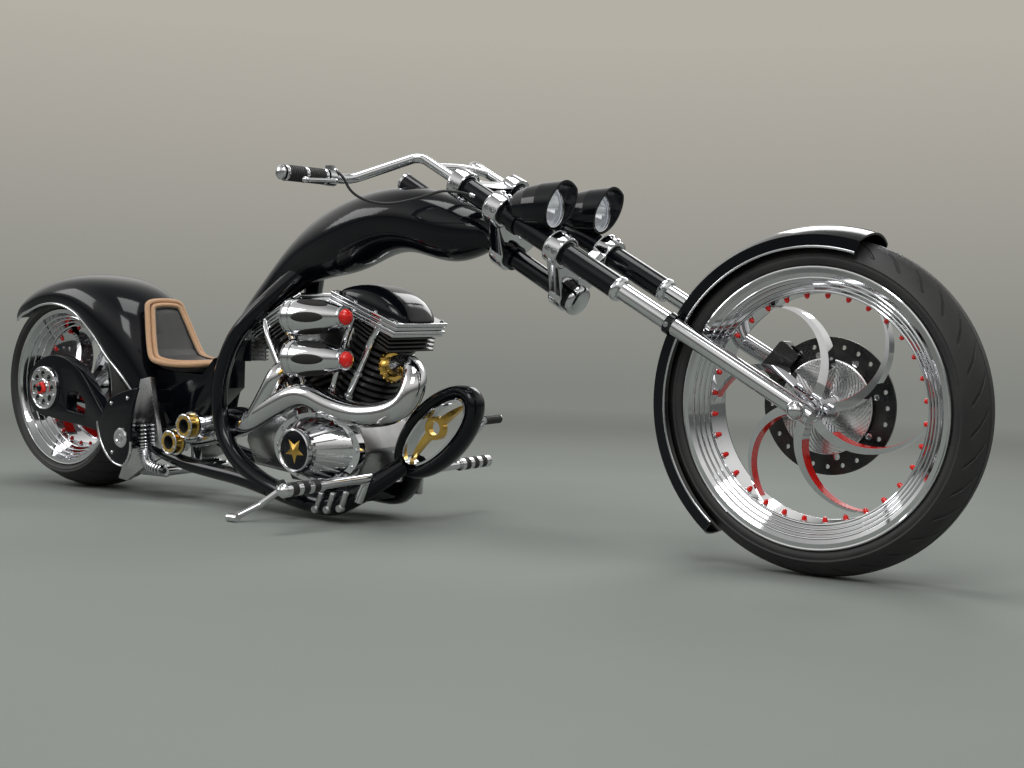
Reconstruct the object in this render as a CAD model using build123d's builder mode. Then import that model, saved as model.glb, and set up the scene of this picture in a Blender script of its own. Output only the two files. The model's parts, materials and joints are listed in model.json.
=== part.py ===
from build123d import *

import math
import os

os.makedirs("parts", exist_ok=True)

# Chopper motorcycle, drawn upright with X forward from the rear axle, Y to the left and Z up from the road,
# and placed as parked by one lean and one shift, so that the origin is the bottom centre of the whole bike.
# All lengths are millimetres, all angles degrees.

# Parking
LEAN = 3.0
SHIFT = (-1292.5, 47.7, 0.3)

# Wheels
FRONT_R = 370.0
REAR_R = 335.0
AXLE_R = 12.0
RUN = 0.4

# Front end
RAKE = 30.0
FORK_Y = 107.0
FORK_LOWER_R = 21.0
FORK_UPPER_R = 28.0
FORK_JOIN = 520.0
FORK_TOP = 1075.0
CLAMP_LOW = 710.0
CLAMP_HIGH = 918.0
CLAMP_BAR = 1052.0
NECK_DROP = 115.0
NECK_R = 25.0
BAR_R = 12.7
FORK_FOOT = (2550.0, 370.0)

# Engine
CRANK = (1128.0, 215.0)
V_HALF = 28.0
DECK = 130.0
HEAD = 335.0
FIN_R = 90.0

# Frame
RAIL_Y = 130.0
RAIL_R = 14.0
PIVOT = (396.0, 197.0)

SIN_R = math.sin(math.radians(RAKE))
COS_R = math.cos(math.radians(RAKE))
# The fork line is fixed by its foot point, and the axle lies on it at the height of the wheel's radius
AXLE_S = (FRONT_R - FORK_FOOT[1]) / SIN_R
WHEELBASE = FORK_FOOT[0] - AXLE_S * COS_R
PARKED = Location(SHIFT, (LEAN, 0, 0))


# Placing helpers: points and planes are given on the upright bike and come back as parked
def spot(x, y, z):
    return (PARKED * Pos(x, y, z)).position


def heading(x, y, z):
    return (Rotation(LEAN, 0, 0) * Pos(x, y, z)).position


def stood(origin, x_dir, z_dir):
    return Plane(PARKED * Plane(origin=origin, x_dir=x_dir, z_dir=z_dir).location)


# Side view plane at a height y to the left: local axes are X and Z, and its normal points right
def side(y):
    return stood((0, y, 0), (1, 0, 0), (0, -1, 0))


# Plane across the bike at x, z, its normal pitched up by angle: local axes are Y and upwards
def cross(x, z, angle=0.0):
    a = math.radians(angle)
    return stood((x, 0, z), (0, 1, 0), (math.cos(a), 0, math.sin(a)))


# Plane across the fork at the distance s up from its foot: local axes are right and up-forward
def fork(s):
    return stood((FORK_FOOT[0] - s * COS_R, 0, FORK_FOOT[1] + s * SIN_R), (0, -1, 0), (-COS_R, 0, SIN_R))


# Plane across a cylinder of the engine at the distance t from the crank, lean forward or back
def bore_plane(t, lean):
    a = math.radians(lean)
    return stood((CRANK[0] + t * math.sin(a), 0, CRANK[1] + t * math.cos(a)), (0, 1, 0),
                 (math.sin(a), 0, math.cos(a)))


# Plane square to a path at its first point
def across(p0, p1):
    return Plane(origin=p0, z_dir=p1 - p0)


LATERAL = heading(0, 1, 0)
FRONT_HUB = spot(WHEELBASE, 0, FRONT_R)
REAR_HUB = spot(0, 0, REAR_R)
FRONT_AXIS = Axis(FRONT_HUB, LATERAL)
REAR_AXIS = Axis(REAR_HUB, LATERAL)


# A tube along points on the upright bike, bent with the given radii
def tube(points, radius, bends, mode=Mode.ADD):
    path_points = [spot(*p) for p in points]
    with BuildLine(mode=Mode.PRIVATE) as path:
        if len(path_points) == 2:
            Line(*path_points)
        else:
            FilletPolyline(*path_points, radius=bends)
    with BuildSketch(across(path_points[0], path_points[1])) as ring:
        Circle(radius)
    sweep(ring.sketch, path=path.wires()[0], mode=mode)


# A ball at a point on the upright bike
def ball(point, radius):
    with Locations(spot(*point)):
        Sphere(radius)


# The section of a tyre, from its bead out to its crown, across the wheel
def tyre_section(radius, half, crown, bead_r, lip_r, bead_half, wall):
    edge = half * 0.80
    inner = edge - wall * 0.6
    drop = crown - math.sqrt(crown * crown - edge * edge)
    shoulder = radius - drop
    waist = shoulder * 0.55 + lip_r * 0.45
    with BuildSketch() as outer:
        with BuildLine():
            ThreePointArc((-edge, shoulder), (0, radius), (edge, shoulder))
            ThreePointArc((edge, shoulder), (half, waist), (bead_half, lip_r))
            Polyline((bead_half, lip_r), (bead_half, bead_r), (bead_half - wall, bead_r))
            Polyline((bead_half - wall, bead_r), (half - wall, waist), (inner, shoulder - wall))
            ThreePointArc((inner, shoulder - wall), (0, radius - wall), (-inner, shoulder - wall))
            Polyline((-inner, shoulder - wall), (wall - half, waist), (wall - bead_half, bead_r))
            Polyline((wall - bead_half, bead_r), (-bead_half, bead_r), (-bead_half, lip_r))
            ThreePointArc((-bead_half, lip_r), (-half, waist), (-edge, shoulder))
        make_face()
    add(outer.sketch)


# The section of a deep dished rim: lip, bead seat, well and the band that the spokes meet
def rim_section(lip_r, seat_r, seat_half, well_r, well_half, band_r, band_half, lip):
    right = [(0, band_r), (band_half, band_r), (seat_half + lip, lip_r - 14), (seat_half + lip, lip_r),
             (seat_half, lip_r), (seat_half, seat_r), (well_half + 9, seat_r), (well_half, well_r),
             (0, well_r)]
    left = [(-x, r) for x, r in reversed(right[1:-1])]
    with BuildSketch() as outer:
        with BuildLine():
            Polyline(*right, *left, close=True)
        make_face()
    add(outer.sketch)


# Front wheel: the bead seat of its rim and the band inside the rim
FRONT_SEAT = FRONT_R - 78
FRONT_BAND = FRONT_R - 120
with BuildPart() as front_tyre:
    with BuildSketch(cross(WHEELBASE, FRONT_R)):
        tyre_section(FRONT_R, 69, 72, FRONT_SEAT, FRONT_SEAT + 14, 60, 11)
    revolve(axis=FRONT_AXIS)
front_tyre.part.label = "front_tyre"
export_step(front_tyre.part, "parts/front_tyre.step")

with BuildPart() as front_rim:
    with BuildSketch(cross(WHEELBASE, FRONT_R)):
        rim_section(FRONT_SEAT + 13, FRONT_SEAT, 60, FRONT_SEAT - 20, 30, FRONT_BAND, 36, 6)
    revolve(axis=FRONT_AXIS)
front_rim.part.label = "front_rim"
export_step(front_rim.part, "parts/front_rim.step")


# A ring of curved spokes round a hub: each leaves the hub radially and curls into the rim
def swirl(x, z, count, start_r, rim_r, sweep_angle, root, tip):
    with BuildSketch(side(-150)) as blades:
        for i in range(count):
            base = i * 360.0 / count
            pts = []
            for offset in (-0.5, 0.5):
                row = []
                for r, a, w in ((start_r, 0.0, root), (rim_r * 0.62, sweep_angle * 0.42, (root + tip) / 2),
                                (rim_r + 12, sweep_angle * 1.08, tip)):
                    ang = math.radians(base + a) + offset * w / r
                    row.append((x + r * math.cos(ang), z + r * math.sin(ang)))
                pts.append(row)
            with BuildLine():
                ThreePointArc(*pts[0])
                Line(pts[0][2], pts[1][2])
                ThreePointArc(pts[1][2], pts[1][1], pts[1][0])
                Line(pts[1][0], pts[0][0])
            make_face()
    extrude(blades.sketch, amount=-300)


with BuildPart() as front_spokes:
    swirl(WHEELBASE, FRONT_R, 6, 20, FRONT_BAND, 62, 24, 9)
    with BuildSketch(cross(WHEELBASE, FRONT_R)):
        with BuildLine():
            Polyline((-58, 15), (-58, 60), (-14, FRONT_BAND), (14, FRONT_BAND), (-18, 60), (-18, 15),
                     close=True)
        make_face()
    revolve(axis=FRONT_AXIS, mode=Mode.INTERSECT)
    with BuildSketch(cross(WHEELBASE, FRONT_R)):
        with Locations((0, 22.0)):
            Rectangle(120, 19.2)
    revolve(axis=FRONT_AXIS)
front_spokes.part.label = "front_spokes"
export_step(front_spokes.part, "parts/front_spokes.step")

with BuildPart() as front_disc:
    with BuildSketch(side(48)):
        with Locations((WHEELBASE, FRONT_R)):
            Circle(153)
            Circle(31.8, mode=Mode.SUBTRACT)
            with PolarLocations(134, 24):
                Circle(5, mode=Mode.SUBTRACT)
    extrude(amount=6)
    with BuildSketch(side(48)):
        with Locations((WHEELBASE, FRONT_R)):
            Circle(105)
            Circle(31.8, mode=Mode.SUBTRACT)
    extrude(amount=16)
front_disc.part.label = "front_disc"
export_step(front_disc.part, "parts/front_disc.step")

# Rear wheel
REAR_SEAT = REAR_R - 94
REAR_BAND = REAR_R - 137
with BuildPart() as rear_tyre:
    with BuildSketch(cross(0, REAR_R)):
        tyre_section(REAR_R, 145, 200, REAR_SEAT, REAR_SEAT + 13, 127, 13)
    revolve(axis=REAR_AXIS)
rear_tyre.part.label = "rear_tyre"
export_step(rear_tyre.part, "parts/rear_tyre.step")

with BuildPart() as rear_rim:
    with BuildSketch(cross(0, REAR_R)):
        rim_section(REAR_SEAT + 12, REAR_SEAT, 127, REAR_SEAT - 19, 70, REAR_BAND, 62, 6)
    revolve(axis=REAR_AXIS)
rear_rim.part.label = "rear_rim"
export_step(rear_rim.part, "parts/rear_rim.step")

with BuildPart() as rear_spokes:
    swirl(0, REAR_R, 6, 30, REAR_BAND, 62, 30, 12)
    with BuildSketch(cross(0, REAR_R)):
        with BuildLine():
            Polyline((-105, 20), (-105, 60), (-45, REAR_BAND), (-10, REAR_BAND), (-50, 60), (-50, 20),
                     close=True)
        make_face()
    revolve(axis=REAR_AXIS, mode=Mode.INTERSECT)
    with BuildSketch(cross(0, REAR_R)):
        with Locations((0, 28.0)):
            Rectangle(260, 31.2)
    revolve(axis=REAR_AXIS)
rear_spokes.part.label = "rear_spokes"
export_step(rear_spokes.part, "parts/rear_spokes.step")

with BuildPart() as rear_disc:
    with BuildSketch(side(96)):
        with Locations((0, REAR_R)):
            Circle(150)
            Circle(43.8, mode=Mode.SUBTRACT)
            with PolarLocations(128, 24):
                Circle(5.5, mode=Mode.SUBTRACT)
    extrude(amount=7)
rear_disc.part.label = "rear_disc"
export_step(rear_disc.part, "parts/rear_disc.step")

# Fork and steering
with BuildPart() as front_axle:
    half = [(-132, 8), (-132, 17), (-128, 17), (-128, AXLE_R), (-86, AXLE_R), (-86, 17), (-60.6, 17),
            (-60.6, AXLE_R)]
    with BuildSketch(cross(WHEELBASE, FRONT_R)):
        with BuildLine():
            Polyline(*half, *[(-y, r) for y, r in reversed(half)], close=True)
        make_face()
    revolve(axis=FRONT_AXIS)
front_axle.part.label = "front_axle"
export_step(front_axle.part, "parts/front_axle.step")

with BuildPart() as fork_lowers:
    with BuildSketch(fork(AXLE_S - 30)):
        with Locations((FORK_Y, 0), (-FORK_Y, 0)):
            Circle(FORK_LOWER_R)
    extrude(amount=FORK_JOIN + 90 - AXLE_S)
    with BuildSketch(cross(WHEELBASE, FRONT_R)):
        with Locations((0, AXLE_R / 2)):
            Rectangle(300, AXLE_R)
    revolve(axis=FRONT_AXIS, mode=Mode.SUBTRACT)
fork_lowers.part.label = "fork_lowers"
export_step(fork_lowers.part, "parts/fork_lowers.step")

with BuildPart() as fork_uppers:
    with BuildSketch(fork(FORK_JOIN)):
        with Locations((FORK_Y, 0), (-FORK_Y, 0)):
            Circle(FORK_UPPER_R)
    extrude(amount=FORK_TOP - FORK_JOIN)
    with BuildSketch(fork(FORK_JOIN)):
        with Locations((FORK_Y, 0), (-FORK_Y, 0)):
            Circle(FORK_LOWER_R)
    extrude(amount=60, mode=Mode.SUBTRACT)
fork_uppers.part.label = "fork_uppers"
export_step(fork_uppers.part, "parts/fork_uppers.step")


# A fork clamp: two rings on the fork tubes and a lobe that turns on the neck tube
def clamp(s, thick):
    with BuildSketch(fork(s - thick / 2)) as plate:
        for x in (FORK_Y, -FORK_Y):
            with BuildSketch():
                with Locations((x, 0)):
                    Circle(30)
                with Locations((0, -NECK_DROP)):
                    Circle(34)
                make_hull()
        with Locations((FORK_Y, 0), (-FORK_Y, 0)):
            Circle(40)
        with Locations((0, -NECK_DROP)):
            Circle(42)
        with Locations((FORK_Y, 0), (-FORK_Y, 0)):
            Circle(FORK_UPPER_R, mode=Mode.SUBTRACT)
        with Locations((0, -NECK_DROP)):
            Circle(NECK_R + RUN, mode=Mode.SUBTRACT)
    extrude(plate.sketch, amount=thick)


with BuildPart() as fork_clamps:
    clamp(CLAMP_LOW, 42)
    clamp(CLAMP_HIGH, 42)
    with BuildSketch(fork(CLAMP_BAR - 20)):
        with Locations((FORK_Y, 0), (-FORK_Y, 0)):
            Circle(39)
        with BuildLine():
            ThreePointArc((-FORK_Y, 24), (0, 10), (FORK_Y, 24))
            Line((FORK_Y, 24), (FORK_Y, -8))
            ThreePointArc((FORK_Y, -8), (0, -14), (-FORK_Y, -8))
            Line((-FORK_Y, -8), (-FORK_Y, 24))
        make_face()
        with Locations((FORK_Y, 0), (-FORK_Y, 0)):
            Circle(FORK_UPPER_R, mode=Mode.SUBTRACT)
    extrude(amount=40)
fork_clamps.part.label = "fork_clamps"
export_step(fork_clamps.part, "parts/fork_clamps.step")


# A point on the fork frame: distance s up the fork, y to the left, n up-forward of the fork plane
def fork_point(s, y, n=0.0):
    return (FORK_FOOT[0] - s * COS_R + n * SIN_R, y, FORK_FOOT[1] + s * SIN_R + n * COS_R)


def bar_points(sign):
    return [fork_point(FORK_TOP, sign * FORK_Y), fork_point(1212, sign * FORK_Y), (1400, sign * 262, 910),
            (1398, sign * 345, 910), (1378, sign * 478, 912)]


with BuildPart() as handlebars:
    tube(bar_points(-1), BAR_R, (34, 90, 60))
    tube(bar_points(1), BAR_R, (34, 90, 60))
    tube([fork_point(1150, FORK_Y), fork_point(1150, 0, 8), fork_point(1150, -FORK_Y)], 10, (600,))
handlebars.part.label = "handlebars"
export_step(handlebars.part, "parts/handlebars.step")

GRIP_IN = 350.0
GRIP_OUT = 470.0


# A plane square to the straight end of a handlebar, at y
def bar_plane(sign, y):
    t = (y - 345.0) / (478.0 - 345.0)
    return stood((1398 - 20 * t, sign * y, 910 + 2 * t), (0, 0, 1), (-20, sign * 133, 2))


with BuildPart() as grips:
    for sign in (-1, 1):
        with BuildSketch(bar_plane(sign, GRIP_IN)):
            Circle(18)
        extrude(amount=GRIP_OUT - GRIP_IN - 2)
        with BuildSketch(bar_plane(sign, GRIP_OUT)):
            Circle(13)
        extrude(amount=14)
    add(handlebars.part, mode=Mode.SUBTRACT)
grips.part.label = "grips"
export_step(grips.part, "parts/grips.step")

with BuildPart() as hand_levers:
    for sign in (-1, 1):
        with BuildSketch(bar_plane(sign, GRIP_IN - 28)):
            Circle(21)
        extrude(amount=22)
        tube([(1405, sign * 334, 905), (1440, sign * 350, 898), (1432, sign * 450, 893)], 5, (14,))
        ball((1432, sign * 450, 893), 8)
        tube([(1402, sign * 334, 915), (1402, sign * 334, 938)], 13, ())
    add(handlebars.part, mode=Mode.SUBTRACT)
hand_levers.part.label = "hand_levers"
export_step(hand_levers.part, "parts/hand_levers.step")

# Brake hose from the right master cylinder down to the fork
HOSE = ((1402, -334, 928), (1428, -322, 924), (1440, -300, 866), (1490, -240, 842), (1570, -190, 860),
        (1640, -164, 884), (1697, -128, 862))
with BuildPart() as brake_hose:
    tube(HOSE, 3.5, (14, 24, 60, 90, 40))
    add(hand_levers.part, mode=Mode.SUBTRACT)
    add(fork_uppers.part, mode=Mode.SUBTRACT)
brake_hose.part.label = "brake_hose"
export_step(brake_hose.part, "parts/brake_hose.step")

# Headlights: bullets with a pointed visor, a bright bowl and a glass
LIGHT_X = 1915.0
LIGHT_Z = 830.0


# A shape turned about the axis of one headlight: rows of distance forward and radius
def lamp_turn(sign, rows, mode=Mode.ADD):
    with BuildSketch(stood((LIGHT_X, sign * 105, LIGHT_Z), (1, 0, 0), (0, -1, 0))) as half:
        with BuildLine():
            Polyline(*rows, close=True)
        make_face()
    revolve(half.sketch, axis=Axis(spot(LIGHT_X, sign * 105, LIGHT_Z), heading(1, 0, 0)), mode=mode)


LAMP_SHELL = ((-138, 0), (-134, 12), (-120, 27), (-95, 42), (-60, 52), (-20, 57), (40, 59), (40, 0))
LAMP_HOLLOW = ((60, 0), (60, 53), (-14, 51), (-28, 42), (-44, 29), (-56, 15), (-60, 0))
LAMP_BOWL = ((-14, 49), (-27, 40), (-42, 27), (-53, 13), (-57, 0), (-60, 0), (-56, 15), (-44, 29), (-28, 42),
             (-14, 51))
LAMP_GLASS = ((-14, 0), (-14, 51), (-12, 51), (-9, 30), (-8, 0))
with BuildPart() as headlight_shells:
    for sign in (-1, 1):
        lamp_turn(sign, LAMP_SHELL)
    for sign in (-1, 1):
        lamp_turn(sign, LAMP_HOLLOW, Mode.SUBTRACT)
    with BuildSketch(side(190)):
        with BuildLine():
            Polyline((1912, 750), (1912, 776), (1968, 900), (2000, 900), (2000, 750), close=True)
        make_face()
    extrude(amount=380, mode=Mode.SUBTRACT)
    with BuildSketch(fork(846)):
        with Locations((FORK_Y, 0), (-FORK_Y, 0)):
            Circle(33)
        with Locations((FORK_Y, 30), (-FORK_Y, 30)):
            Rectangle(22, 30)
        with Locations((FORK_Y, 0), (-FORK_Y, 0)):
            Circle(FORK_UPPER_R, mode=Mode.SUBTRACT)
    extrude(amount=20)
    add(fork_uppers.part, mode=Mode.SUBTRACT)
    add(fork_clamps.part, mode=Mode.SUBTRACT)
    for sign in (-1, 1):
        lamp_turn(sign, LAMP_HOLLOW, Mode.SUBTRACT)
headlight_shells.part.label = "headlight_shells"
export_step(headlight_shells.part, "parts/headlight_shells.step")

with BuildPart() as headlight_bowls:
    for sign in (-1, 1):
        lamp_turn(sign, LAMP_BOWL)
headlight_bowls.part.label = "headlight_bowls"
export_step(headlight_bowls.part, "parts/headlight_bowls.step")

with BuildPart() as headlight_lenses:
    for sign in (-1, 1):
        lamp_turn(sign, LAMP_GLASS)
headlight_lenses.part.label = "headlight_lenses"
export_step(headlight_lenses.part, "parts/headlight_lenses.step")

# Front brake caliper astride the disc, held on the left fork leg
CALIPER = (WHEELBASE - 107.0, FRONT_R + 93.0)
with BuildPart() as front_caliper:
    with BuildSketch(side(68)):
        with Locations(Location((CALIPER[0] - 5, CALIPER[1] + 4, 0), (0, 0, 139))):
            RectangleRounded(56, 82, 10)
    extrude(amount=40)
    with BuildSketch(side(53.5)):
        with Locations((WHEELBASE, FRONT_R)):
            Circle(159)
    extrude(amount=17, mode=Mode.SUBTRACT)
    tube([(CALIPER[0], 58, CALIPER[1]), (CALIPER[0] - 11, FORK_Y, CALIPER[1] - 25)], 11, ())
    add(fork_lowers.part, mode=Mode.SUBTRACT)
front_caliper.part.label = "front_caliper"
export_step(front_caliper.part, "parts/front_caliper.step")

# Front fender and its brackets on the fork legs
with BuildPart() as front_fender:
    a = math.radians(72)
    with BuildSketch(stood((WHEELBASE, 0, FRONT_R), (0, 1, 0), (math.sin(a), 0, -math.cos(a)))):
        with BuildLine():
            Polyline((-82, FRONT_R - 25), (-82, FRONT_R + 2))
            ThreePointArc((-82, FRONT_R + 2), (0, FRONT_R + 24), (82, FRONT_R + 2))
            Polyline((82, FRONT_R + 2), (82, FRONT_R - 25), (78, FRONT_R - 25), (78, FRONT_R))
            ThreePointArc((78, FRONT_R), (0, FRONT_R + 19), (-78, FRONT_R))
            Polyline((-78, FRONT_R), (-78, FRONT_R - 25), (-82, FRONT_R - 25))
        make_face()
    revolve(axis=FRONT_AXIS, revolution_arc=-158)
    with BuildSketch(fork(AXLE_S + 352)):
        with Locations((FORK_Y, 0), (-FORK_Y, 0)):
            Circle(26)
        for sign in (-1, 1):
            with Locations((sign * 93, 0)):
                Rectangle(24, 24)
        with Locations((FORK_Y, 0), (-FORK_Y, 0)):
            Circle(FORK_LOWER_R, mode=Mode.SUBTRACT)
    extrude(amount=16)
front_fender.part.label = "front_fender"
export_step(front_fender.part, "parts/front_fender.step")

# Frame: neck tube, tank and spine
NECK_LOW = 676.0
NECK_HIGH = 1312.0
with BuildPart() as neck_tube:
    with BuildSketch(fork(NECK_LOW)):
        with Locations((0, -NECK_DROP)):
            Circle(NECK_R)
    extrude(amount=NECK_HIGH - NECK_LOW)
    with BuildSketch(fork(NECK_LOW - 8)):
        with Locations((0, -NECK_DROP)):
            Circle(36)
    extrude(amount=8 + CLAMP_LOW - 21 - RUN - NECK_LOW)
    with BuildSketch(fork(CLAMP_HIGH - 21 - RUN)):
        with Locations((0, -NECK_DROP)):
            Circle(33)
    extrude(amount=-14)
neck_tube.part.label = "neck_tube"
export_step(neck_tube.part, "parts/neck_tube.step")

# Tank and spine sections from the nose back: x, z, pitch of the section, half height, half width
TANK = (
    (1666, 752, -32, 14, 16),
    (1640, 765, -30, 45, 46),
    (1560, 783, -20, 78, 84),
    (1425, 820, -8, 87, 108),
    (1298, 822, 5, 89, 110),
    (1139, 778, 24, 95, 98),
    (988, 721, 40, 70, 68),
    (869, 644, 45, 50, 52),
    (737, 518, 48, 40, 46),
    (600, 399, 42, 32, 42),
)
with BuildPart() as tank_body:
    for x, z, pitch, high, wide in TANK:
        with BuildSketch(cross(x, z, pitch)):
            Ellipse(wide, high)
    loft()
    add(neck_tube.part, mode=Mode.SUBTRACT)
tank_body.part.label = "tank_body"
export_step(tank_body.part, "parts/tank_body.step")


# Frame hoop and lower rail of one side
def rail_points(sign):
    y = sign * RAIL_Y
    return [(985, sign * 30, 690), (880, y, 572), (790, y, 480), (735, y, 335), (775, y, 185), (930, y, 82),
            (1140, y, 45), (1255, y, 50), (1372, sign * 20, 165)]


# Cross plates that carry the engine on the lower rails: x and the height of their underside
ENGINE_MOUNTS = ((1030.0, 58.0), (1228.0, 44.0))
with BuildPart() as frame_rails:
    for x, low in ENGINE_MOUNTS:
        with BuildSketch(cross(x - 15, 0)):
            with BuildLine():
                Polyline((-136, low), (136, low), (136, low + 24), (80, 104), (-80, 104), (-136, low + 24),
                         close=True)
            make_face()
        extrude(amount=30)
    for sign in (-1, 1):
        y = sign * RAIL_Y
        tube(rail_points(sign), RAIL_R, (60, 130, 130, 130, 200, 200, 60))
        tube([(452, y, 162), (560, y, 130), (860, y, 100), (930, y, 82)], RAIL_R, (150, 150))
    add(tank_body.part, mode=Mode.SUBTRACT)
frame_rails.part.label = "frame_rails"
export_step(frame_rails.part, "parts/frame_rails.step")

# Front loop under the engine's nose: a tilted ring with a bright lining and a gilt blade across it
LOOP = (1470.0, 257.0)
LOOP_TILT = 40.0


def loop_plane(y):
    a = math.radians(LOOP_TILT)
    return stood((LOOP[0], y, LOOP[1]), (math.cos(a), 0, math.sin(a)), (0, -1, 0))


with BuildPart() as front_loop:
    with BuildSketch(loop_plane(35)):
        Ellipse(170, 88)
        Ellipse(134, 54, mode=Mode.SUBTRACT)
    extrude(amount=70)
    fillet(front_loop.edges().filter_by(GeomType.ELLIPSE), 8)
    add(frame_rails.part, mode=Mode.SUBTRACT)
front_loop.part.label = "front_loop"
export_step(front_loop.part, "parts/front_loop.step")

with BuildPart() as loop_liner:
    with BuildSketch(loop_plane(24)):
        Ellipse(134, 54)
        Ellipse(128, 48, mode=Mode.SUBTRACT)
    extrude(amount=48)
    add(frame_rails.part, mode=Mode.SUBTRACT)
loop_liner.part.label = "loop_liner"
export_step(loop_liner.part, "parts/loop_liner.step")

with BuildPart() as loop_ornament:
    with BuildSketch(loop_plane(9)):
        with BuildLine():
            ThreePointArc((-132, -6), (0, 24), (132, -6))
            ThreePointArc((132, -6), (0, 2), (-132, -6))
        make_face()
        with Locations((0, 13)):
            Circle(32)
            Circle(19, mode=Mode.SUBTRACT)
    extrude(amount=18)
    add(loop_liner.part, mode=Mode.SUBTRACT)
loop_ornament.part.label = "loop_ornament"
export_step(loop_ornament.part, "parts/loop_ornament.step")

# Engine
TAN_V = math.tan(math.radians(V_HALF))
APEX = CRANK[1] + DECK / math.cos(math.radians(V_HALF))
with BuildPart() as crankcase:
    with BuildSketch(side(95)):
        with BuildLine():
            Polyline((992, APEX - 136 * TAN_V), (1128, APEX), (1264, APEX - 136 * TAN_V), (1292, 200),
                     (1250, 104), (1006, 104), (964, 200), close=True)
        make_face()
    extrude(amount=190)
crankcase.part.label = "crankcase"
export_step(crankcase.part, "parts/crankcase.step")

FINS = 10


# A finned cylinder on the crankcase, leaning forward or back, kept on its own side of the middle
def barrel(lean, keep):
    pitch = (HEAD - DECK - 14.0) / FINS
    rows = [(0, DECK), (68, DECK), (68, DECK + 14)]
    for i in range(FINS):
        low = DECK + 14 + i * pitch
        rows += [(FIN_R, low + pitch * 0.35), (FIN_R, low + pitch * 0.85), (74, low + pitch)]
    rows.append((0, HEAD))
    a = math.radians(lean)
    with BuildPart() as finned:
        with BuildSketch(stood((CRANK[0], 0, CRANK[1]), (0, 1, 0), (math.cos(a), 0, -math.sin(a)))):
            with BuildLine():
                Polyline(*rows, close=True)
            make_face()
        revolve(axis=Axis(spot(CRANK[0], 0, CRANK[1]), heading(math.sin(a), 0, math.cos(a))))
        with BuildSketch(side(120)):
            with Locations((CRANK[0] - keep * 99.5, 300)):
                Rectangle(200, 500)
        extrude(amount=240, mode=Mode.SUBTRACT)
    return finned.part


with BuildPart() as cylinders:
    add(barrel(V_HALF, 1))
    add(barrel(-V_HALF, -1))
cylinders.part.label = "cylinders"
export_step(cylinders.part, "parts/cylinders.step")


# A rocker cover in three steps on a cylinder head
def rocker(lean, length):
    for low, high, half, grow in ((HEAD, HEAD + 22, 100, 0), (HEAD + 22, HEAD + 40, 92, -8),
                                  (HEAD + 40, HEAD + 60, 80, -18)):
        with BuildSketch(bore_plane(low, lean)) as layer:
            RectangleRounded(2 * half, length + 2 * grow, 18)
        extrude(layer.sketch, amount=high - low)


with BuildPart() as rocker_covers:
    rocker(V_HALF, 220)
    rocker(-V_HALF, 220)
rocker_covers.part.label = "rocker_covers"
export_step(rocker_covers.part, "parts/rocker_covers.step")

with BuildPart() as rocker_pod:
    with BuildSketch(side(55)):
        with BuildLine():
            Line((1130, 720), (1172, 625))
            ThreePointArc((1172, 625), (1330, 600), (1500, 500))
            ThreePointArc((1500, 500), (1390, 636), (1235, 655))
            Line((1235, 655), (1200, 740))
            Line((1200, 740), (1130, 720))
        make_face()
    extrude(amount=110)
    add(tank_body.part, mode=Mode.SUBTRACT)
    add(rocker_covers.part, mode=Mode.SUBTRACT)
rocker_pod.part.label = "rocker_pod"
export_step(rocker_pod.part, "parts/rocker_pod.step")

with BuildPart() as gearbox:
    with BuildSketch(side(88)):
        with BuildLine():
            Polyline((964, 270), (880, 300), (800, 280), (785, 200), (820, 130), (964, 120), close=True)
        make_face()
    extrude(amount=150)
    add(crankcase.part, mode=Mode.SUBTRACT)
gearbox.part.label = "gearbox"
export_step(gearbox.part, "parts/gearbox.step")

# Finned oil cooler under the spine
with BuildPart() as oil_cooler:
    rows = [(760, 436), (840, 436)]
    for i in range(5):
        low = 436 + i * 11
        rows += [(840, low + 5), (826, low + 5), (826, low + 11), (840, low + 11)]
    rows += [(840, 496), (806, 496), (806, 560), (788, 560), (788, 496), (760, 496)]
    with BuildSketch(side(-20)):
        with BuildLine():
            Polyline(*rows, close=True)
        make_face()
    extrude(amount=56)
    add(tank_body.part, mode=Mode.SUBTRACT)
oil_cooler.part.label = "oil_cooler"
export_step(oil_cooler.part, "parts/oil_cooler.step")

with BuildPart() as primary_cover:
    with BuildSketch(side(155)):
        with Locations((1128, 215)):
            Circle(106)
        with Locations((905, 215)):
            Circle(70)
        make_hull()
    extrude(amount=60)
    add(gearbox.part, mode=Mode.SUBTRACT)
primary_cover.part.label = "primary_cover"
export_step(primary_cover.part, "parts/primary_cover.step")

CAM = (1128.0, 203.0)
with BuildPart() as cam_cover:
    with BuildSketch(side(-95)):
        with Locations(CAM):
            Ellipse(165, 98)
    extrude(amount=22)
    with BuildSketch(side(-117)):
        with Locations(CAM):
            Ellipse(140, 86)
    with BuildSketch(side(-158)):
        with Locations(CAM):
            Ellipse(86, 68)
    with BuildSketch(side(-190)):
        with Locations(CAM):
            Circle(46)
    loft()
cam_cover.part.label = "cam_cover"
export_step(cam_cover.part, "parts/cam_cover.step")

with BuildPart() as cam_badge:
    with BuildSketch(side(-190)):
        with Locations(CAM):
            Circle(38)
    extrude(amount=7)
cam_badge.part.label = "cam_badge"
export_step(cam_badge.part, "parts/cam_badge.step")

# Intake: two bullet stacks on a body that stands in the V
STACK_Y = -170.0
with BuildPart() as intake_stacks:
    for z in (564.0, 452.0):
        with BuildSketch(stood((0, STACK_Y, z), (1, 0, 0), (0, -1, 0))):
            with BuildLine():
                Line((1096, 0), (1096, 50))
                Line((1096, 50), (1130, 50))
                ThreePointArc((1130, 50), (1215, 43), (1290, 25))
                Line((1290, 25), (1290, 0))
                Line((1290, 0), (1096, 0))
            make_face()
        revolve(axis=Axis(spot(1096, STACK_Y, z), heading(1, 0, 0)))
intake_stacks.part.label = "intake_stacks"
export_step(intake_stacks.part, "parts/intake_stacks.step")

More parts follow.
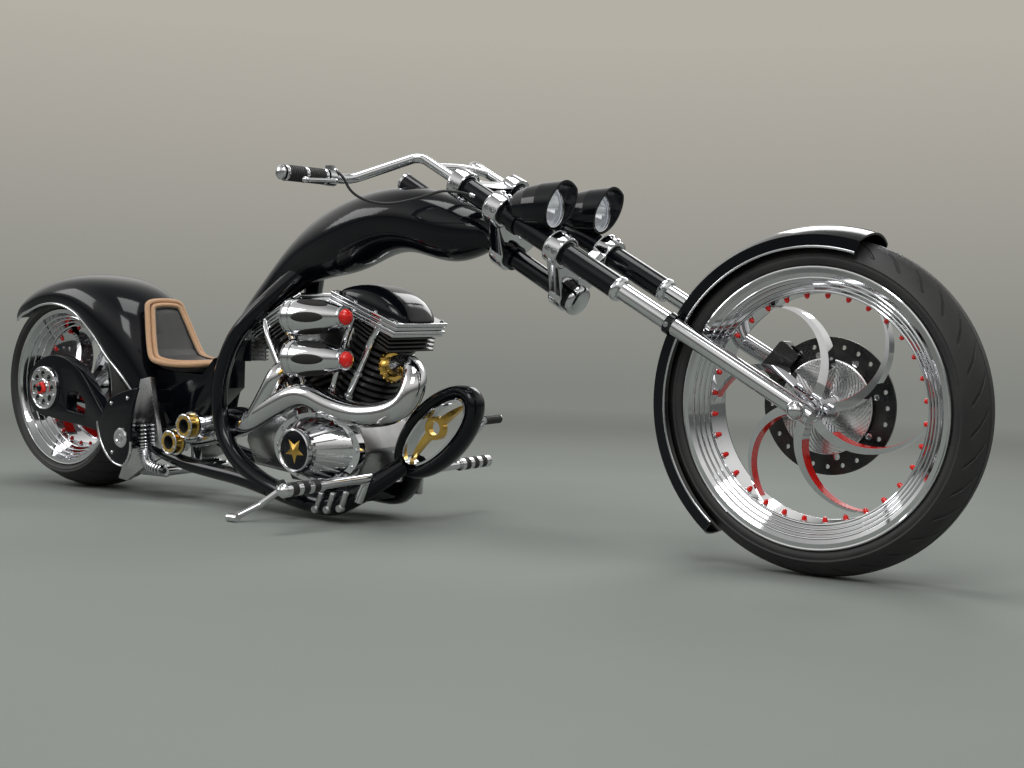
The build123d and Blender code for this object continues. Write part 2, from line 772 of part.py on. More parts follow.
with BuildPart() as intake_caps:
    for z in (564.0, 452.0):
        ball((1290, STACK_Y, z), 22)
    add(intake_stacks.part, mode=Mode.SUBTRACT)
intake_caps.part.label = "intake_caps"
export_step(intake_caps.part, "parts/intake_caps.step")

with BuildPart() as intake_body:
    with BuildSketch(side(-40)):
        with Locations((1128, 520)):
            RectangleRounded(84, 170, 12)
    extrude(amount=100)
    add(intake_stacks.part, mode=Mode.SUBTRACT)
    add(cylinders.part, mode=Mode.SUBTRACT)
intake_body.part.label = "intake_body"
export_step(intake_body.part, "parts/intake_body.step")

# Pushrod tubes: foot x, z and head x, z
PUSHRODS = ((1150, 280, 1240, 530), (1195, 270, 1330, 510), (1106, 280, 1016, 530), (1061, 270, 926, 510))
with BuildPart() as pushrod_tubes:
    for x0, z0, x1, z1 in PUSHRODS:
        tube([(x0, -104.5, z0), (x1, -104.5, z1)], 9, ())
    add(cam_cover.part, mode=Mode.SUBTRACT)
    add(rocker_covers.part, mode=Mode.SUBTRACT)
pushrod_tubes.part.label = "pushrod_tubes"
export_step(pushrod_tubes.part, "parts/pushrod_tubes.step")

# Exhaust
PIPE_R = 21.0
TIP_R = 17.5
TIPS = ((574, 191), (644, 243))
with BuildPart() as exhaust_pipes:
    tube([(1335, -52, 428), (1430, -70, 440), (1512, -135, 400), (1470, -150, 325), (1340, -150, 302),
          (1225, -150, 318), (1115, -150, 358), (1000, -150, 315), (890, -145, 262), (790, -92, 235),
          (640, -92, 196), (574, -100, 191), (574, -176, 191)],
         PIPE_R, (45, 40, 40, 100, 100, 90, 100, 60, 60, 24, 28))
    tube([(1013, -70, 431), (1009, -150, 420), (974, -150, 340), (930, -148, 282)], PIPE_R, (30, 60))
    tube([(905, -147, 270), (800, -92, 283), (644, -96, 243), (644, -176, 243)], PIPE_R, (60, 30))
    add(cylinders.part, mode=Mode.SUBTRACT)
    add(rocker_covers.part, mode=Mode.SUBTRACT)
    with BuildSketch(side(-176)):
        with Locations(*TIPS):
            Circle(TIP_R)
    extrude(amount=-40, mode=Mode.SUBTRACT)
exhaust_pipes.part.label = "exhaust_pipes"
export_step(exhaust_pipes.part, "parts/exhaust_pipes.step")

with BuildPart() as exhaust_tips:
    with BuildSketch(side(-150)):
        with Locations(*TIPS):
            Circle(35)
            Circle(PIPE_R, mode=Mode.SUBTRACT)
    extrude(amount=26)
exhaust_tips.part.label = "exhaust_tips"
export_step(exhaust_tips.part, "parts/exhaust_tips.step")

# Rear end: swingarm, axle, pivot plates, fender, seat
with BuildPart() as rear_axle:
    half = [(-212, 8), (-212, 20), (-200, 20), (-200, AXLE_R), (-160, AXLE_R), (-160, 20), (-130.6, 20),
            (-130.6, AXLE_R)]
    with BuildSketch(cross(0, REAR_R)):
        with BuildLine():
            Polyline(*half, *[(-y, r) for y, r in reversed(half)], close=True)
        make_face()
    revolve(axis=REAR_AXIS)
    for y in (208, -200):
        with BuildSketch(side(y)):
            with Locations((0, REAR_R)):
                Circle(68)
                Circle(20, mode=Mode.SUBTRACT)
                with PolarLocations(45, 8):
                    Circle(10, mode=Mode.SUBTRACT)
        extrude(amount=8)
rear_axle.part.label = "rear_axle"
export_step(rear_axle.part, "parts/rear_axle.step")

with BuildPart() as swingarm:
    for y in (200, -160):
        with BuildSketch(side(y)):
            with BuildLine():
                Spline((-60, 405), (14, 438), (110, 432), (190, 386), (255, 312), (300, 262))
                Polyline((300, 262), (330, 240), (420, 232), (428, 165), (330, 158), (281, 205))
                Spline((281, 205), (190, 222), (110, 230), (16, 243))
                Line((16, 243), (-60, 270))
                Line((-60, 270), (-60, 405))
            make_face()
            with Locations((0, REAR_R)):
                Circle(93)
            with Locations(PIVOT):
                Circle(38)
            with BuildLine():
                Spline((112, 268), (150, 330), (205, 290), (196, 256))
                Line((196, 256), (112, 268))
            make_face(mode=Mode.SUBTRACT)
            with Locations((0, REAR_R)):
                Circle(AXLE_R, mode=Mode.SUBTRACT)
        extrude(amount=40)
    with BuildSketch(side(161)):
        with Locations(PIVOT):
            Circle(22)
    extrude(amount=322)
swingarm.part.label = "swingarm"
export_step(swingarm.part, "parts/swingarm.step")

with BuildPart() as pivot_plates:
    for y in (142, -126):
        with BuildSketch(side(y)):
            with BuildLine():
                Polyline((450, 380), (405, 372), (372, 270), (352, 180), (290, 60), (330, 55), (430, 112),
                         (500, 138), (480, 230), close=True)
            make_face()
            with Locations(PIVOT):
                Circle(22, mode=Mode.SUBTRACT)
        extrude(amount=16)
    add(frame_rails.part, mode=Mode.SUBTRACT)
pivot_plates.part.label = "pivot_plates"
export_step(pivot_plates.part, "parts/pivot_plates.step")

# Leaf shaped shields outside the swingarm
with BuildPart() as side_shields:
    for y in (210, -200):
        with BuildSketch(side(y)):
            with BuildLine():
                ThreePointArc((342, 316), (408, 338), (479, 351))
                ThreePointArc((479, 351), (448, 270), (440, 187))
                ThreePointArc((440, 187), (428, 138), (402, 111))
                ThreePointArc((402, 111), (352, 122), (315, 152))
                ThreePointArc((315, 152), (290, 196), (281, 242))
                Line((281, 242), (342, 316))
            make_face()
        extrude(amount=10)
side_shields.part.label = "side_shields"
export_step(side_shields.part, "parts/side_shields.step")

# Fender over the rear wheel: a crowned shell, full at the front where it carries the seat
FENDER_Y = 166.0
FENDER_MID = (41.0, 202.0)
FENDER_CROWN = 504.0


# The solid form of the rear fender, or of its hollow when it is set in by the wall
def fender_form(inset):
    half = FENDER_Y - inset
    rise = FENDER_CROWN - 400 - inset
    with BuildPart() as form:
        with BuildSketch(side(half)):
            with BuildLine():
                Polyline((-450, 250), (400 - inset, 250), (392 - inset, 338), (382 - inset, 400),
                         (318 - inset, 612), (318 - inset, 760), (-450, 760), close=True)
            make_face()
        extrude(amount=2 * half)
        with BuildSketch(cross(*FENDER_MID)):
            with BuildLine():
                Spline((half, 400), (half * 0.7, 400 + rise * 0.714), (0, 400 + rise),
                       (-half * 0.7, 400 + rise * 0.714), (-half, 400), tangents=((0, 1), (0, -1)))
                Polyline((-half, 400), (-half, 0), (half, 0), (half, 400))
            make_face()
        revolve(axis=Axis(spot(FENDER_MID[0], 0, FENDER_MID[1]), LATERAL), mode=Mode.INTERSECT)
        with BuildSketch(stood((0, 0, 200), (1, 0, 0), (0, 0, 1))):
            with BuildLine():
                Polyline((230, -half), (-460, -half), (-460, half), (230, half))
                ThreePointArc((230, half), (330, half - 18), (402 - inset, half - 66))
                Line((402 - inset, half - 66), (402 - inset, 66 - half))
                ThreePointArc((402 - inset, 66 - half), (330, 18 - half), (230, -half))
            make_face()
        extrude(amount=600, mode=Mode.INTERSECT)
    return form.part


with BuildPart() as rear_fender:
    add(fender_form(0))
    with BuildSketch(side(200)):
        with BuildLine():
            Line((-460, 532), (-163, 577))
            ThreePointArc((-163, 577), (14, 607), (169, 530))
            ThreePointArc((169, 530), (238, 446), (325, 336))
            Polyline((325, 336), (420, 338), (420, 200), (-460, 200), (-460, 532))
        make_face()
    extrude(amount=400, mode=Mode.SUBTRACT)
    add(fender_form(12), mode=Mode.SUBTRACT)
rear_fender.part.label = "rear_fender"
export_step(rear_fender.part, "parts/rear_fender.step")

# Body under the seat, from the fender and pivot plates up to the end of the spine
with BuildPart() as seat_pan:
    with BuildSketch(side(62)):
        with BuildLine():
            Polyline((382, 400), (596, 388), (650, 440), (645, 345), (534, 262), (450, 222), (410, 240),
                     (392, 338), close=True)
        make_face()
    extrude(amount=124)
    with BuildSketch(side(128)):
        with BuildLine():
            Polyline((392, 338), (450, 338), (450, 270), (402, 270), close=True)
        make_face()
    extrude(amount=256)
    add(rear_fender.part, mode=Mode.SUBTRACT)
    add(tank_body.part, mode=Mode.SUBTRACT)
    add(pivot_plates.part, mode=Mode.SUBTRACT)
seat_pan.part.label = "seat_pan"
export_step(seat_pan.part, "parts/seat_pan.step")

# Seat: a shield shaped back against the fender and a base out to the spine
with BuildPart() as seat:
    with BuildSketch(side(130)):
        with BuildLine():
            Polyline((318, 612), (350, 622), (414, 436), (500, 418), (600, 420), (604, 387), (382, 400),
                     close=True)
        make_face()
    extrude(amount=260)
    with BuildSketch(cross(0, 0)):
        with BuildLine():
            Polyline((-54, 640), (54, 640), (112, 430), (118, 370), (-118, 370), (-112, 430), close=True)
        make_face()
    extrude(amount=900, mode=Mode.INTERSECT)
    with BuildSketch(stood((0, 0, 0), (1, 0, 0), (0, 0, 1))):
        with BuildLine():
            Polyline((250, -130), (470, -130), (610, -58), (610, 58), (470, 130), (250, 130),
                     close=True)
        make_face()
    extrude(amount=900, mode=Mode.INTERSECT)
    add(rear_fender.part, mode=Mode.SUBTRACT)
    add(seat_pan.part, mode=Mode.SUBTRACT)
    add(tank_body.part, mode=Mode.SUBTRACT)
seat.part.label = "seat"
export_step(seat.part, "parts/seat.step")

# Shock springs between the pivot plates and a link under the seat body
SPRING_X = (364.0, 480.0)
SPRING_Z = 92.0
with BuildPart() as shock_springs:
    for y in (-104.0, 104.0):
        coils = 10
        pitch = (SPRING_X[1] - SPRING_X[0]) / coils
        rows = [(SPRING_X[0], 0)]
        for i in range(coils):
            x = SPRING_X[0] + i * pitch
            rows += [(x, 13), (x + pitch * 0.2, 20), (x + pitch * 0.6, 20), (x + pitch * 0.8, 13)]
        rows += [(SPRING_X[1], 13), (SPRING_X[1], 0)]
        with BuildSketch(stood((0, y, SPRING_Z), (1, 0, 0), (0, -1, 0))):
            with BuildLine():
                Polyline(*rows, close=True)
            make_face()
        revolve(axis=Axis(spot(0, y, SPRING_Z), heading(1, 0, 0)))
        tube([(352, y * 1.25, SPRING_Z), (352, y * 0.88, SPRING_Z)], 14, ())
    tube([(490, -118, SPRING_Z), (490, 118, SPRING_Z)], 14, ())
    tube([(490, 0, SPRING_Z), (490, 0, 250)], 16, ())
    add(pivot_plates.part, mode=Mode.SUBTRACT)
    add(seat_pan.part, mode=Mode.SUBTRACT)
shock_springs.part.label = "shock_springs"
export_step(shock_springs.part, "parts/shock_springs.step")

# Foot pegs on their cross arms, with the shift lever on the left
PEG = (1312.0, 132.0)
with BuildPart() as footpegs:
    for sign in (-1, 1):
        tube([(PEG[0], sign * 100, PEG[1]), (PEG[0], sign * 281, PEG[1])], 13, ())
        tube([(PEG[0], sign * 278, PEG[1]), (PEG[0], sign * 418, PEG[1])], 16, ())
        for y in (284, 322, 360, 398):
            tube([(PEG[0], sign * y, PEG[1]), (PEG[0], sign * (y + 16), PEG[1])], 18, ())
        ball((PEG[0], sign * 420, PEG[1]), 15)
        tube([(PEG[0], sign * 108, PEG[1]), (PEG[0] - 20, sign * 125, 66)], 12, ())
    tube([(PEG[0], 252, PEG[1]), (1330, 285, 190), (1375, 334, 262)], 8, (40,))
    tube([(1375, 322, 262), (1375, 398, 262)], 11, ())
    add(frame_rails.part, mode=Mode.SUBTRACT)
footpegs.part.label = "footpegs"
export_step(footpegs.part, "parts/footpegs.step")

# Side stand and its bracket on the right rail
STAND_TOP = (1120.0, -232.0, 104.0)
FOOT_Y = -340.0
FOOT_R = 11.0
FOOT_Z = -FOOT_Y * math.tan(math.radians(LEAN)) + FOOT_R / math.cos(math.radians(LEAN)) - 0.3
FOOT = (1040.0, FOOT_Y, FOOT_Z)
HINGE = (-0.05, 0.596, -0.80)
PIN_R = 7.0


# A cylinder on the hinge of the side stand, from one distance along the hinge to another
def on_hinge(radius, start, end, mode=Mode.ADD):
    base = [c + start * h for c, h in zip(STAND_TOP, HINGE)]
    with BuildSketch(stood(base, (HINGE[2], 0, -HINGE[0]), HINGE)) as disc:
        Circle(radius)
    extrude(disc.sketch, amount=end - start, mode=mode)


with BuildPart() as side_stand:
    tube([STAND_TOP, (1075, -275, 60), FOOT], 9, (30,))
    tube([(FOOT[0] - 18, FOOT[1], FOOT[2]), (FOOT[0] + 18, FOOT[1], FOOT[2])], FOOT_R, ())
    on_hinge(15, -13, 13)
    on_hinge(PIN_R + RUN, -40, 40, Mode.SUBTRACT)
side_stand.part.label = "side_stand"
export_step(side_stand.part, "parts/side_stand.step")

with BuildPart() as stand_bracket:
    on_hinge(PIN_R, -20, 36)
    on_hinge(12, -20, -13.6)
    on_hinge(15, 13.6, 36)
    tube([[c + 25 * h for c, h in zip(STAND_TOP, HINGE)], (1120, -128, 56)], 11, ())
    add(frame_rails.part, mode=Mode.SUBTRACT)
stand_bracket.part.label = "stand_bracket"
export_step(stand_bracket.part, "parts/stand_bracket.step")
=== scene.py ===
import json
import math

import bmesh
import bpy
from mathutils import Matrix, Vector


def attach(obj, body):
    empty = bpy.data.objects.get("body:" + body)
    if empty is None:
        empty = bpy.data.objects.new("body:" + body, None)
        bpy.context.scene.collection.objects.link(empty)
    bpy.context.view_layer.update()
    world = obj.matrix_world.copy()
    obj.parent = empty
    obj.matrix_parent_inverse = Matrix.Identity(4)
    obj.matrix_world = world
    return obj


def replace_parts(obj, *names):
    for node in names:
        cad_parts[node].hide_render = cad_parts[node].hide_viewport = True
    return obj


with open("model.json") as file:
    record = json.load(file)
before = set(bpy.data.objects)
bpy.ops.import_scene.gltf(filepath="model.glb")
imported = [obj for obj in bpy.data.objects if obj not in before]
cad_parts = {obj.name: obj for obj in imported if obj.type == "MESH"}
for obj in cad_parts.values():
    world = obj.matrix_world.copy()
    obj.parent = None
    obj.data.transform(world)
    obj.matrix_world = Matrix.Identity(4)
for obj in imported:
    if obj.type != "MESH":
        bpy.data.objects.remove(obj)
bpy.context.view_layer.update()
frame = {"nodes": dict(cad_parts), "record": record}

# The bike is laid out upright in millimetres: X forward from the rear axle, Y left, Z up from the road.
# The lean and the shift park it, as the solids have them.
LEAN = math.radians(3.0)
SHIFT = Vector((-1.2925, 0.0477, 0.0003))
PARKED = Matrix.Translation(SHIFT) @ Matrix.Rotation(LEAN, 4, "X")
MM = PARKED @ Matrix.Scale(0.001, 4)

WHEELBASE = 2550.0
FRONT_R = 370.0
REAR_R = 335.0
RAKE = math.radians(30)
FRONT_HUB = (WHEELBASE, 0.0, FRONT_R)
REAR_HUB = (0.0, 0.0, REAR_R)
ACROSS = (0.0, 1.0, 0.0)
FORK_UP = (-math.cos(RAKE), 0.0, math.sin(RAKE))
FORK_FRONT = (math.sin(RAKE), 0.0, math.cos(RAKE))


# A point of the upright bike, in millimetres, where it stands when parked, in metres
def spot(x, y, z):
    return MM @ Vector((x, y, z))


# A point on the fork: distance up from the axle, to the left, and up-forward of the fork's plane
def fork_point(up, left, front=0.0):
    return Vector(FRONT_HUB) + Vector(FORK_UP) * up + Vector((0, left, 0)) + Vector(FORK_FRONT) * front


# Shared shader effects

# A node group with its inputs (name, kind, value) and outputs (name, kind)
def new_group(name, inputs, outputs):
    group = bpy.data.node_groups.new(name, "ShaderNodeTree")
    for label, kind, value in inputs:
        socket = group.interface.new_socket(label, in_out="INPUT", socket_type=kind)
        socket.default_value = value
    for label, kind in outputs:
        group.interface.new_socket(label, in_out="OUTPUT", socket_type=kind)
    return group, group.nodes.new("NodeGroupInput"), group.nodes.new("NodeGroupOutput")


def add_node(tree, kind, **values):
    node = tree.nodes.new(kind)
    for name, value in values.items():
        setattr(node, name, value)
    return node


# A math node fed by sockets or plain numbers
def calc(tree, operation, *values):
    node = add_node(tree, "ShaderNodeMath", operation=operation)
    for socket, value in zip(node.inputs, values):
        if isinstance(value, (int, float)):
            socket.default_value = value
        else:
            tree.links.new(value, socket)
    return node.outputs[0]


# A ramp between two colours driven by a mask
def tint(tree, factor, low, high):
    node = add_node(tree, "ShaderNodeMix", data_type="RGBA")
    tree.links.new(factor, node.inputs[0])
    for socket, colour in ((node.inputs[6], low), (node.inputs[7], high)):
        if isinstance(colour, tuple):
            socket.default_value = (*colour, 1)
        else:
            tree.links.new(colour, socket)
    return node.outputs[2]


def noise(tree, vector, scale, detail=3.0, rough=0.5):
    node = add_node(tree, "ShaderNodeTexNoise")
    tree.links.new(vector, node.inputs["Vector"])
    for label, value in (("Scale", scale), ("Detail", detail), ("Roughness", rough)):
        if isinstance(value, (int, float)):
            node.inputs[label].default_value = value
        else:
            tree.links.new(value, node.inputs[label])
    return node.outputs[0]


# Map a mask from one span to another, clamped
def span(tree, value, low, high, out_low, out_high):
    node = add_node(tree, "ShaderNodeMapRange")
    tree.links.new(value, node.inputs["Value"])
    for label, number in (("From Min", low), ("From Max", high), ("To Min", out_low), ("To Max", out_high)):
        if isinstance(number, (int, float)):
            node.inputs[label].default_value = number
        else:
            tree.links.new(number, node.inputs[label])
    return node.outputs[0]


# Handling marks: broad smears and fine dust that vary colour and roughness over any finish
def make_handling():
    group, given, out = new_group(
        "handling",
        (("Vector", "NodeSocketVector", (0, 0, 0)), ("Clean", "NodeSocketColor", (0.5, 0.5, 0.5, 1)),
         ("Dulled", "NodeSocketColor", (0.4, 0.4, 0.4, 1)), ("Smooth", "NodeSocketFloat", 0.1),
         ("Rough", "NodeSocketFloat", 0.2), ("Scale", "NodeSocketFloat", 9.0)),
        (("Colour", "NodeSocketColor"), ("Roughness", "NodeSocketFloat")))
    asked = given.outputs
    broad = noise(group, asked["Vector"], asked["Scale"], 4.0, 0.55)
    fine = noise(group, asked["Vector"], calc(group, "MULTIPLY", asked["Scale"], 14.0), 2.0, 0.6)
    smear = calc(group, "MULTIPLY", span(group, broad, 0.38, 0.68, 0.0, 1.0), 0.7)
    dust = calc(group, "MULTIPLY", span(group, fine, 0.50, 0.72, 0.0, 1.0), 0.3)
    mask = calc(group, "ADD", smear, dust)
    group.links.new(tint(group, mask, asked["Clean"], asked["Dulled"]), out.inputs["Colour"])
    group.links.new(span(group, mask, 0.0, 1.0, asked["Smooth"], asked["Rough"]), out.inputs["Roughness"])
    return group


# Hide: creased cells with pores, as a height and a mask
def make_hide():
    group, given, out = new_group(
        "hide", (("Vector", "NodeSocketVector", (0, 0, 0)), ("Scale", "NodeSocketFloat", 420.0)),
        (("Height", "NodeSocketFloat"), ("Mask", "NodeSocketFloat")))
    cells = add_node(group, "ShaderNodeTexVoronoi", feature="DISTANCE_TO_EDGE")
    group.links.new(given.outputs["Vector"], cells.inputs["Vector"])
    group.links.new(given.outputs["Scale"], cells.inputs["Scale"])
    crease = span(group, cells.outputs[0], 0.0, 0.16, 0.0, 1.0)
    finer = calc(group, "MULTIPLY", given.outputs["Scale"], 2.3)
    pores = noise(group, given.outputs["Vector"], finer, 2.0, 0.6)
    group.links.new(calc(group, "ADD", crease, calc(group, "MULTIPLY", pores, 0.35)), out.inputs["Height"])
    group.links.new(crease, out.inputs["Mask"])
    return group


# Cast skin: a fine irregular height for castings, rubber and enamel
def make_cast_skin():
    group, given, out = new_group(
        "cast_skin", (("Vector", "NodeSocketVector", (0, 0, 0)), ("Scale", "NodeSocketFloat", 300.0)),
        (("Height", "NodeSocketFloat"),))
    grain = noise(group, given.outputs["Vector"], given.outputs["Scale"], 3.0, 0.65)
    coarser = calc(group, "MULTIPLY", given.outputs["Scale"], 0.12)
    swell = noise(group, given.outputs["Vector"], coarser, 2.0, 0.5)
    group.links.new(calc(group, "ADD", grain, calc(group, "MULTIPLY", swell, 0.5)), out.inputs["Height"])
    return group


# Turning marks round a wheel's axle, from coordinates centred on it
def make_turning():
    group, given, out = new_group(
        "turning", (("Vector", "NodeSocketVector", (0, 0, 0)), ("Scale", "NodeSocketFloat", 900.0)),
        (("Height", "NodeSocketFloat"),))
    split = add_node(group, "ShaderNodeSeparateXYZ")
    group.links.new(given.outputs["Vector"], split.inputs[0])
    square = calc(group, "ADD", calc(group, "MULTIPLY", split.outputs[0], split.outputs[0]),
                  calc(group, "MULTIPLY", split.outputs[2], split.outputs[2]))
    radius = calc(group, "SQRT", square)
    rate = calc(group, "MULTIPLY", given.outputs["Scale"], 6.283)
    waves = calc(group, "SINE", calc(group, "MULTIPLY", radius, rate))
    blur = noise(group, given.outputs["Vector"], 60.0, 2.0, 0.5)
    group.links.new(calc(group, "MULTIPLY", waves, blur), out.inputs["Height"])
    return group


# Slanted cuts in a tyre's tread, from coordinates centred on the wheel; the mask marks the cuts, which the
# tyres paint near black as painted shade
def make_sipes():
    group, given, out = new_group(
        "sipes", (("Vector", "NodeSocketVector", (0, 0, 0)), ("Count", "NodeSocketFloat", 40.0),
                  ("Inner", "NodeSocketFloat", 0.018), ("Outer", "NodeSocketFloat", 0.060),
                  ("Slant", "NodeSocketFloat", 30.0)),
        (("Height", "NodeSocketFloat"), ("Mask", "NodeSocketFloat")))
    split = add_node(group, "ShaderNodeSeparateXYZ")
    group.links.new(given.outputs["Vector"], split.inputs[0])
    turn = calc(group, "ARCTAN2", split.outputs[2], split.outputs[0])
    width = calc(group, "ABSOLUTE", split.outputs[1])
    flip = calc(group, "MULTIPLY", calc(group, "SIGN", split.outputs[1]), 0.25)
    steps = calc(group, "MULTIPLY", turn, calc(group, "DIVIDE", given.outputs["Count"], 6.28319))
    slant = calc(group, "MULTIPLY", width, given.outputs["Slant"])
    phase = calc(group, "ADD", calc(group, "ADD", steps, flip), slant)
    cut = calc(group, "ABSOLUTE", calc(group, "SUBTRACT", calc(group, "FRACT", phase), 0.5))
    groove = span(group, cut, 0.05, 0.09, 1.0, 0.0)
    inside = span(group, calc(group, "SUBTRACT", width, given.outputs["Inner"]), 0.0, 0.003, 0.0, 1.0)
    outside = span(group, calc(group, "SUBTRACT", given.outputs["Outer"], width), 0.0, 0.003, 0.0, 1.0)
    mask = calc(group, "MULTIPLY", groove, calc(group, "MULTIPLY", inside, outside))
    group.links.new(mask, out.inputs["Mask"])
    group.links.new(calc(group, "SUBTRACT", 1.0, mask), out.inputs["Height"])
    return group


HANDLING = make_handling()
HIDE = make_hide()
CAST_SKIN = make_cast_skin()
TURNING = make_turning()
SIPES = make_sipes()


# Finishes

# A material, its tree, its Principled shader and Object coordinates
def new_finish(name):
    material = bpy.data.materials.new(name)
    material.use_nodes = True
    tree = material.node_tree
    place = tree.nodes.new("ShaderNodeTexCoord").outputs["Object"]
    return material, tree, tree.nodes["Principled BSDF"], place


# Place a shared effect in a material, fed by a vector and plain values
def effect(tree, group, vector, **values):
    node = tree.nodes.new("ShaderNodeGroup")
    node.node_tree = group
    tree.links.new(vector, node.inputs["Vector"])
    for label, value in values.items():
        socket = node.inputs[label]
        socket.default_value = (*value, 1) if isinstance(value, tuple) else value
    return node.outputs


def bump(tree, shader, height, strength, distance):
    node = tree.nodes.new("ShaderNodeBump")
    node.inputs["Strength"].default_value = strength
    node.inputs["Distance"].default_value = distance
    tree.links.new(height, node.inputs["Height"])
    tree.links.new(node.outputs[0], shader.inputs["Normal"])


# Coordinates centred on a wheel and set upright with it
def hub_coordinates(tree, vector, hub):
    node = tree.nodes.new("ShaderNodeMapping")
    node.vector_type = "TEXTURE"
    node.inputs["Location"].default_value = spot(*hub)
    node.inputs["Rotation"].default_value = (LEAN, 0, 0)
    tree.links.new(vector, node.inputs["Vector"])
    return node.outputs[0]


# A finish whose colour and roughness vary by handling, with a fine skin
def handled(name, clean, dulled, smooth, rough, metallic=0.0, coat=0.0, scale=9.0, skin=0.0,
            skin_scale=300.0):
    material, tree, shader, place = new_finish(name)
    marks = effect(tree, HANDLING, place, Clean=clean, Dulled=dulled, Smooth=smooth, Rough=rough,
                   Scale=scale)
    tree.links.new(marks["Colour"], shader.inputs["Base Color"])
    tree.links.new(marks["Roughness"], shader.inputs["Roughness"])
    shader.inputs["Metallic"].default_value = metallic
    shader.inputs["Coat Weight"].default_value = coat
    shader.inputs["Coat Roughness"].default_value = 0.04
    if skin:
        bump(tree, shader, effect(tree, CAST_SKIN, place, Scale=skin_scale)["Height"], skin, 0.0004)
    return material


# Black lacquer: a deep coat over paint with a faint blue flake
def make_lacquer():
    material, tree, shader, place = new_finish("black_lacquer")
    flake = add_node(tree, "ShaderNodeTexVoronoi", feature="F1")
    flake.inputs["Scale"].default_value = 1600.0
    tree.links.new(place, flake.inputs["Vector"])
    glint = span(tree, flake.outputs["Distance"], 0.0, 0.35, 1.0, 0.0)
    colour = tint(tree, glint, (0.0035, 0.0040, 0.0060), (0.010, 0.014, 0.030))
    tree.links.new(colour, shader.inputs["Base Color"])
    marks = effect(tree, HANDLING, place, Smooth=0.10, Rough=0.17, Scale=5.0)
    tree.links.new(marks["Roughness"], shader.inputs["Roughness"])
    shader.inputs["Coat Weight"].default_value = 0.22
    shader.inputs["Coat Roughness"].default_value = 0.025
    shader.inputs["Specular IOR Level"].default_value = 0.2
    return material


# Tyre rubber with cut tread on the crown, the cuts painted near black as painted shade in the grooves
def make_tyre(name, hub, count, inner, outer, slant):
    material, tree, shader, place = new_finish(name)
    wheel = hub_coordinates(tree, place, hub)
    cuts = effect(tree, SIPES, wheel, Count=count, Inner=inner, Outer=outer, Slant=slant)
    marks = effect(tree, HANDLING, place, Clean=(0.016, 0.016, 0.017), Dulled=(0.034, 0.033, 0.032),
                   Smooth=0.48, Rough=0.68, Scale=14.0)
    # Painted shade: the cuts get a near black colour for the shade in the grooves
    colour = tint(tree, cuts["Mask"], marks["Colour"], (0.003, 0.003, 0.003))
    tree.links.new(colour, shader.inputs["Base Color"])
    tree.links.new(marks["Roughness"], shader.inputs["Roughness"])
    grain = effect(tree, CAST_SKIN, place, Scale=500.0)["Height"]
    height = calc(tree, "ADD", cuts["Height"], calc(tree, "MULTIPLY", grain, 0.06))
    bump(tree, shader, height, 0.9, 0.0025)
    return material


# Disc steel with turning marks about its wheel
def make_disc(name, hub, clean, dulled):
    material, tree, shader, place = new_finish(name)
    marks = effect(tree, HANDLING, place, Clean=clean, Dulled=dulled, Smooth=0.26, Rough=0.42, Scale=20.0)
    tree.links.new(marks["Colour"], shader.inputs["Base Color"])
    tree.links.new(marks["Roughness"], shader.inputs["Roughness"])
    shader.inputs["Metallic"].default_value = 1.0
    lines = effect(tree, TURNING, hub_coordinates(tree, place, hub), Scale=700.0)
    bump(tree, shader, lines["Height"], 0.35, 0.0002)
    return material


# Leather with creases darker than the face
def make_leather(name, face, crease, rough, scale):
    material, tree, shader, place = new_finish(name)
    hide = effect(tree, HIDE, place, Scale=scale)
    marks = effect(tree, HANDLING, place, Clean=face, Dulled=tuple(c * 0.78 for c in face),
                   Smooth=rough, Rough=rough + 0.14, Scale=12.0)
    tree.links.new(tint(tree, hide["Mask"], crease, marks["Colour"]), shader.inputs["Base Color"])
    tree.links.new(marks["Roughness"], shader.inputs["Roughness"])
    shader.inputs["Sheen Weight"].default_value = 0.15
    bump(tree, shader, hide["Height"], 0.45, 0.0006)
    return material


# Clear lamp glass
def make_glass():
    material, tree, shader, place = new_finish("lamp_glass")
    marks = effect(tree, HANDLING, place, Smooth=0.01, Rough=0.05, Scale=30.0)
    tree.links.new(marks["Roughness"], shader.inputs["Roughness"])
    shader.inputs["Base Color"].default_value = (0.97, 0.98, 1.0, 1)
    shader.inputs["Transmission Weight"].default_value = 1.0
    shader.inputs["IOR"].default_value = 1.45
    return material


# Plated lamp bowls, with a faint painted glow: an emission standing in for the light that comes in through
# the glass
def make_bowl():
    material = handled("lamp_bowl", (0.92, 0.92, 0.93), (0.80, 0.80, 0.82), 0.08, 0.16, 1.0, 0.0, 30.0)
    shader = material.node_tree.nodes["Principled BSDF"]
    # Painted light: a faint emission, though the lamps are unlit
    shader.inputs["Emission Color"].default_value = (0.92, 0.96, 1.0, 1)
    shader.inputs["Emission Strength"].default_value = 0.16
    return material


# Chrome that blues and straws a little where the pipe is hot, towards the engine
def make_pipe_chrome():
    material, tree, shader, place = new_finish("pipe_chrome")
    split = add_node(tree, "ShaderNodeSeparateXYZ")
    tree.links.new(place, split.inputs[0])
    hot = span(tree, split.outputs[0], -0.42, 0.18, 0.0, 1.0)
    stain = calc(tree, "MULTIPLY", hot, span(tree, noise(tree, place, 16.0, 3.0), 0.40, 0.70, 0.0, 0.35))
    marks = effect(tree, HANDLING, place, Clean=(0.66, 0.67, 0.69), Dulled=(0.58, 0.58, 0.60),
                   Smooth=0.05, Rough=0.12, Scale=8.0)
    tree.links.new(tint(tree, stain, marks["Colour"], (0.52, 0.44, 0.38)), shader.inputs["Base Color"])
    tree.links.new(marks["Roughness"], shader.inputs["Roughness"])
    shader.inputs["Metallic"].default_value = 1.0
    return material


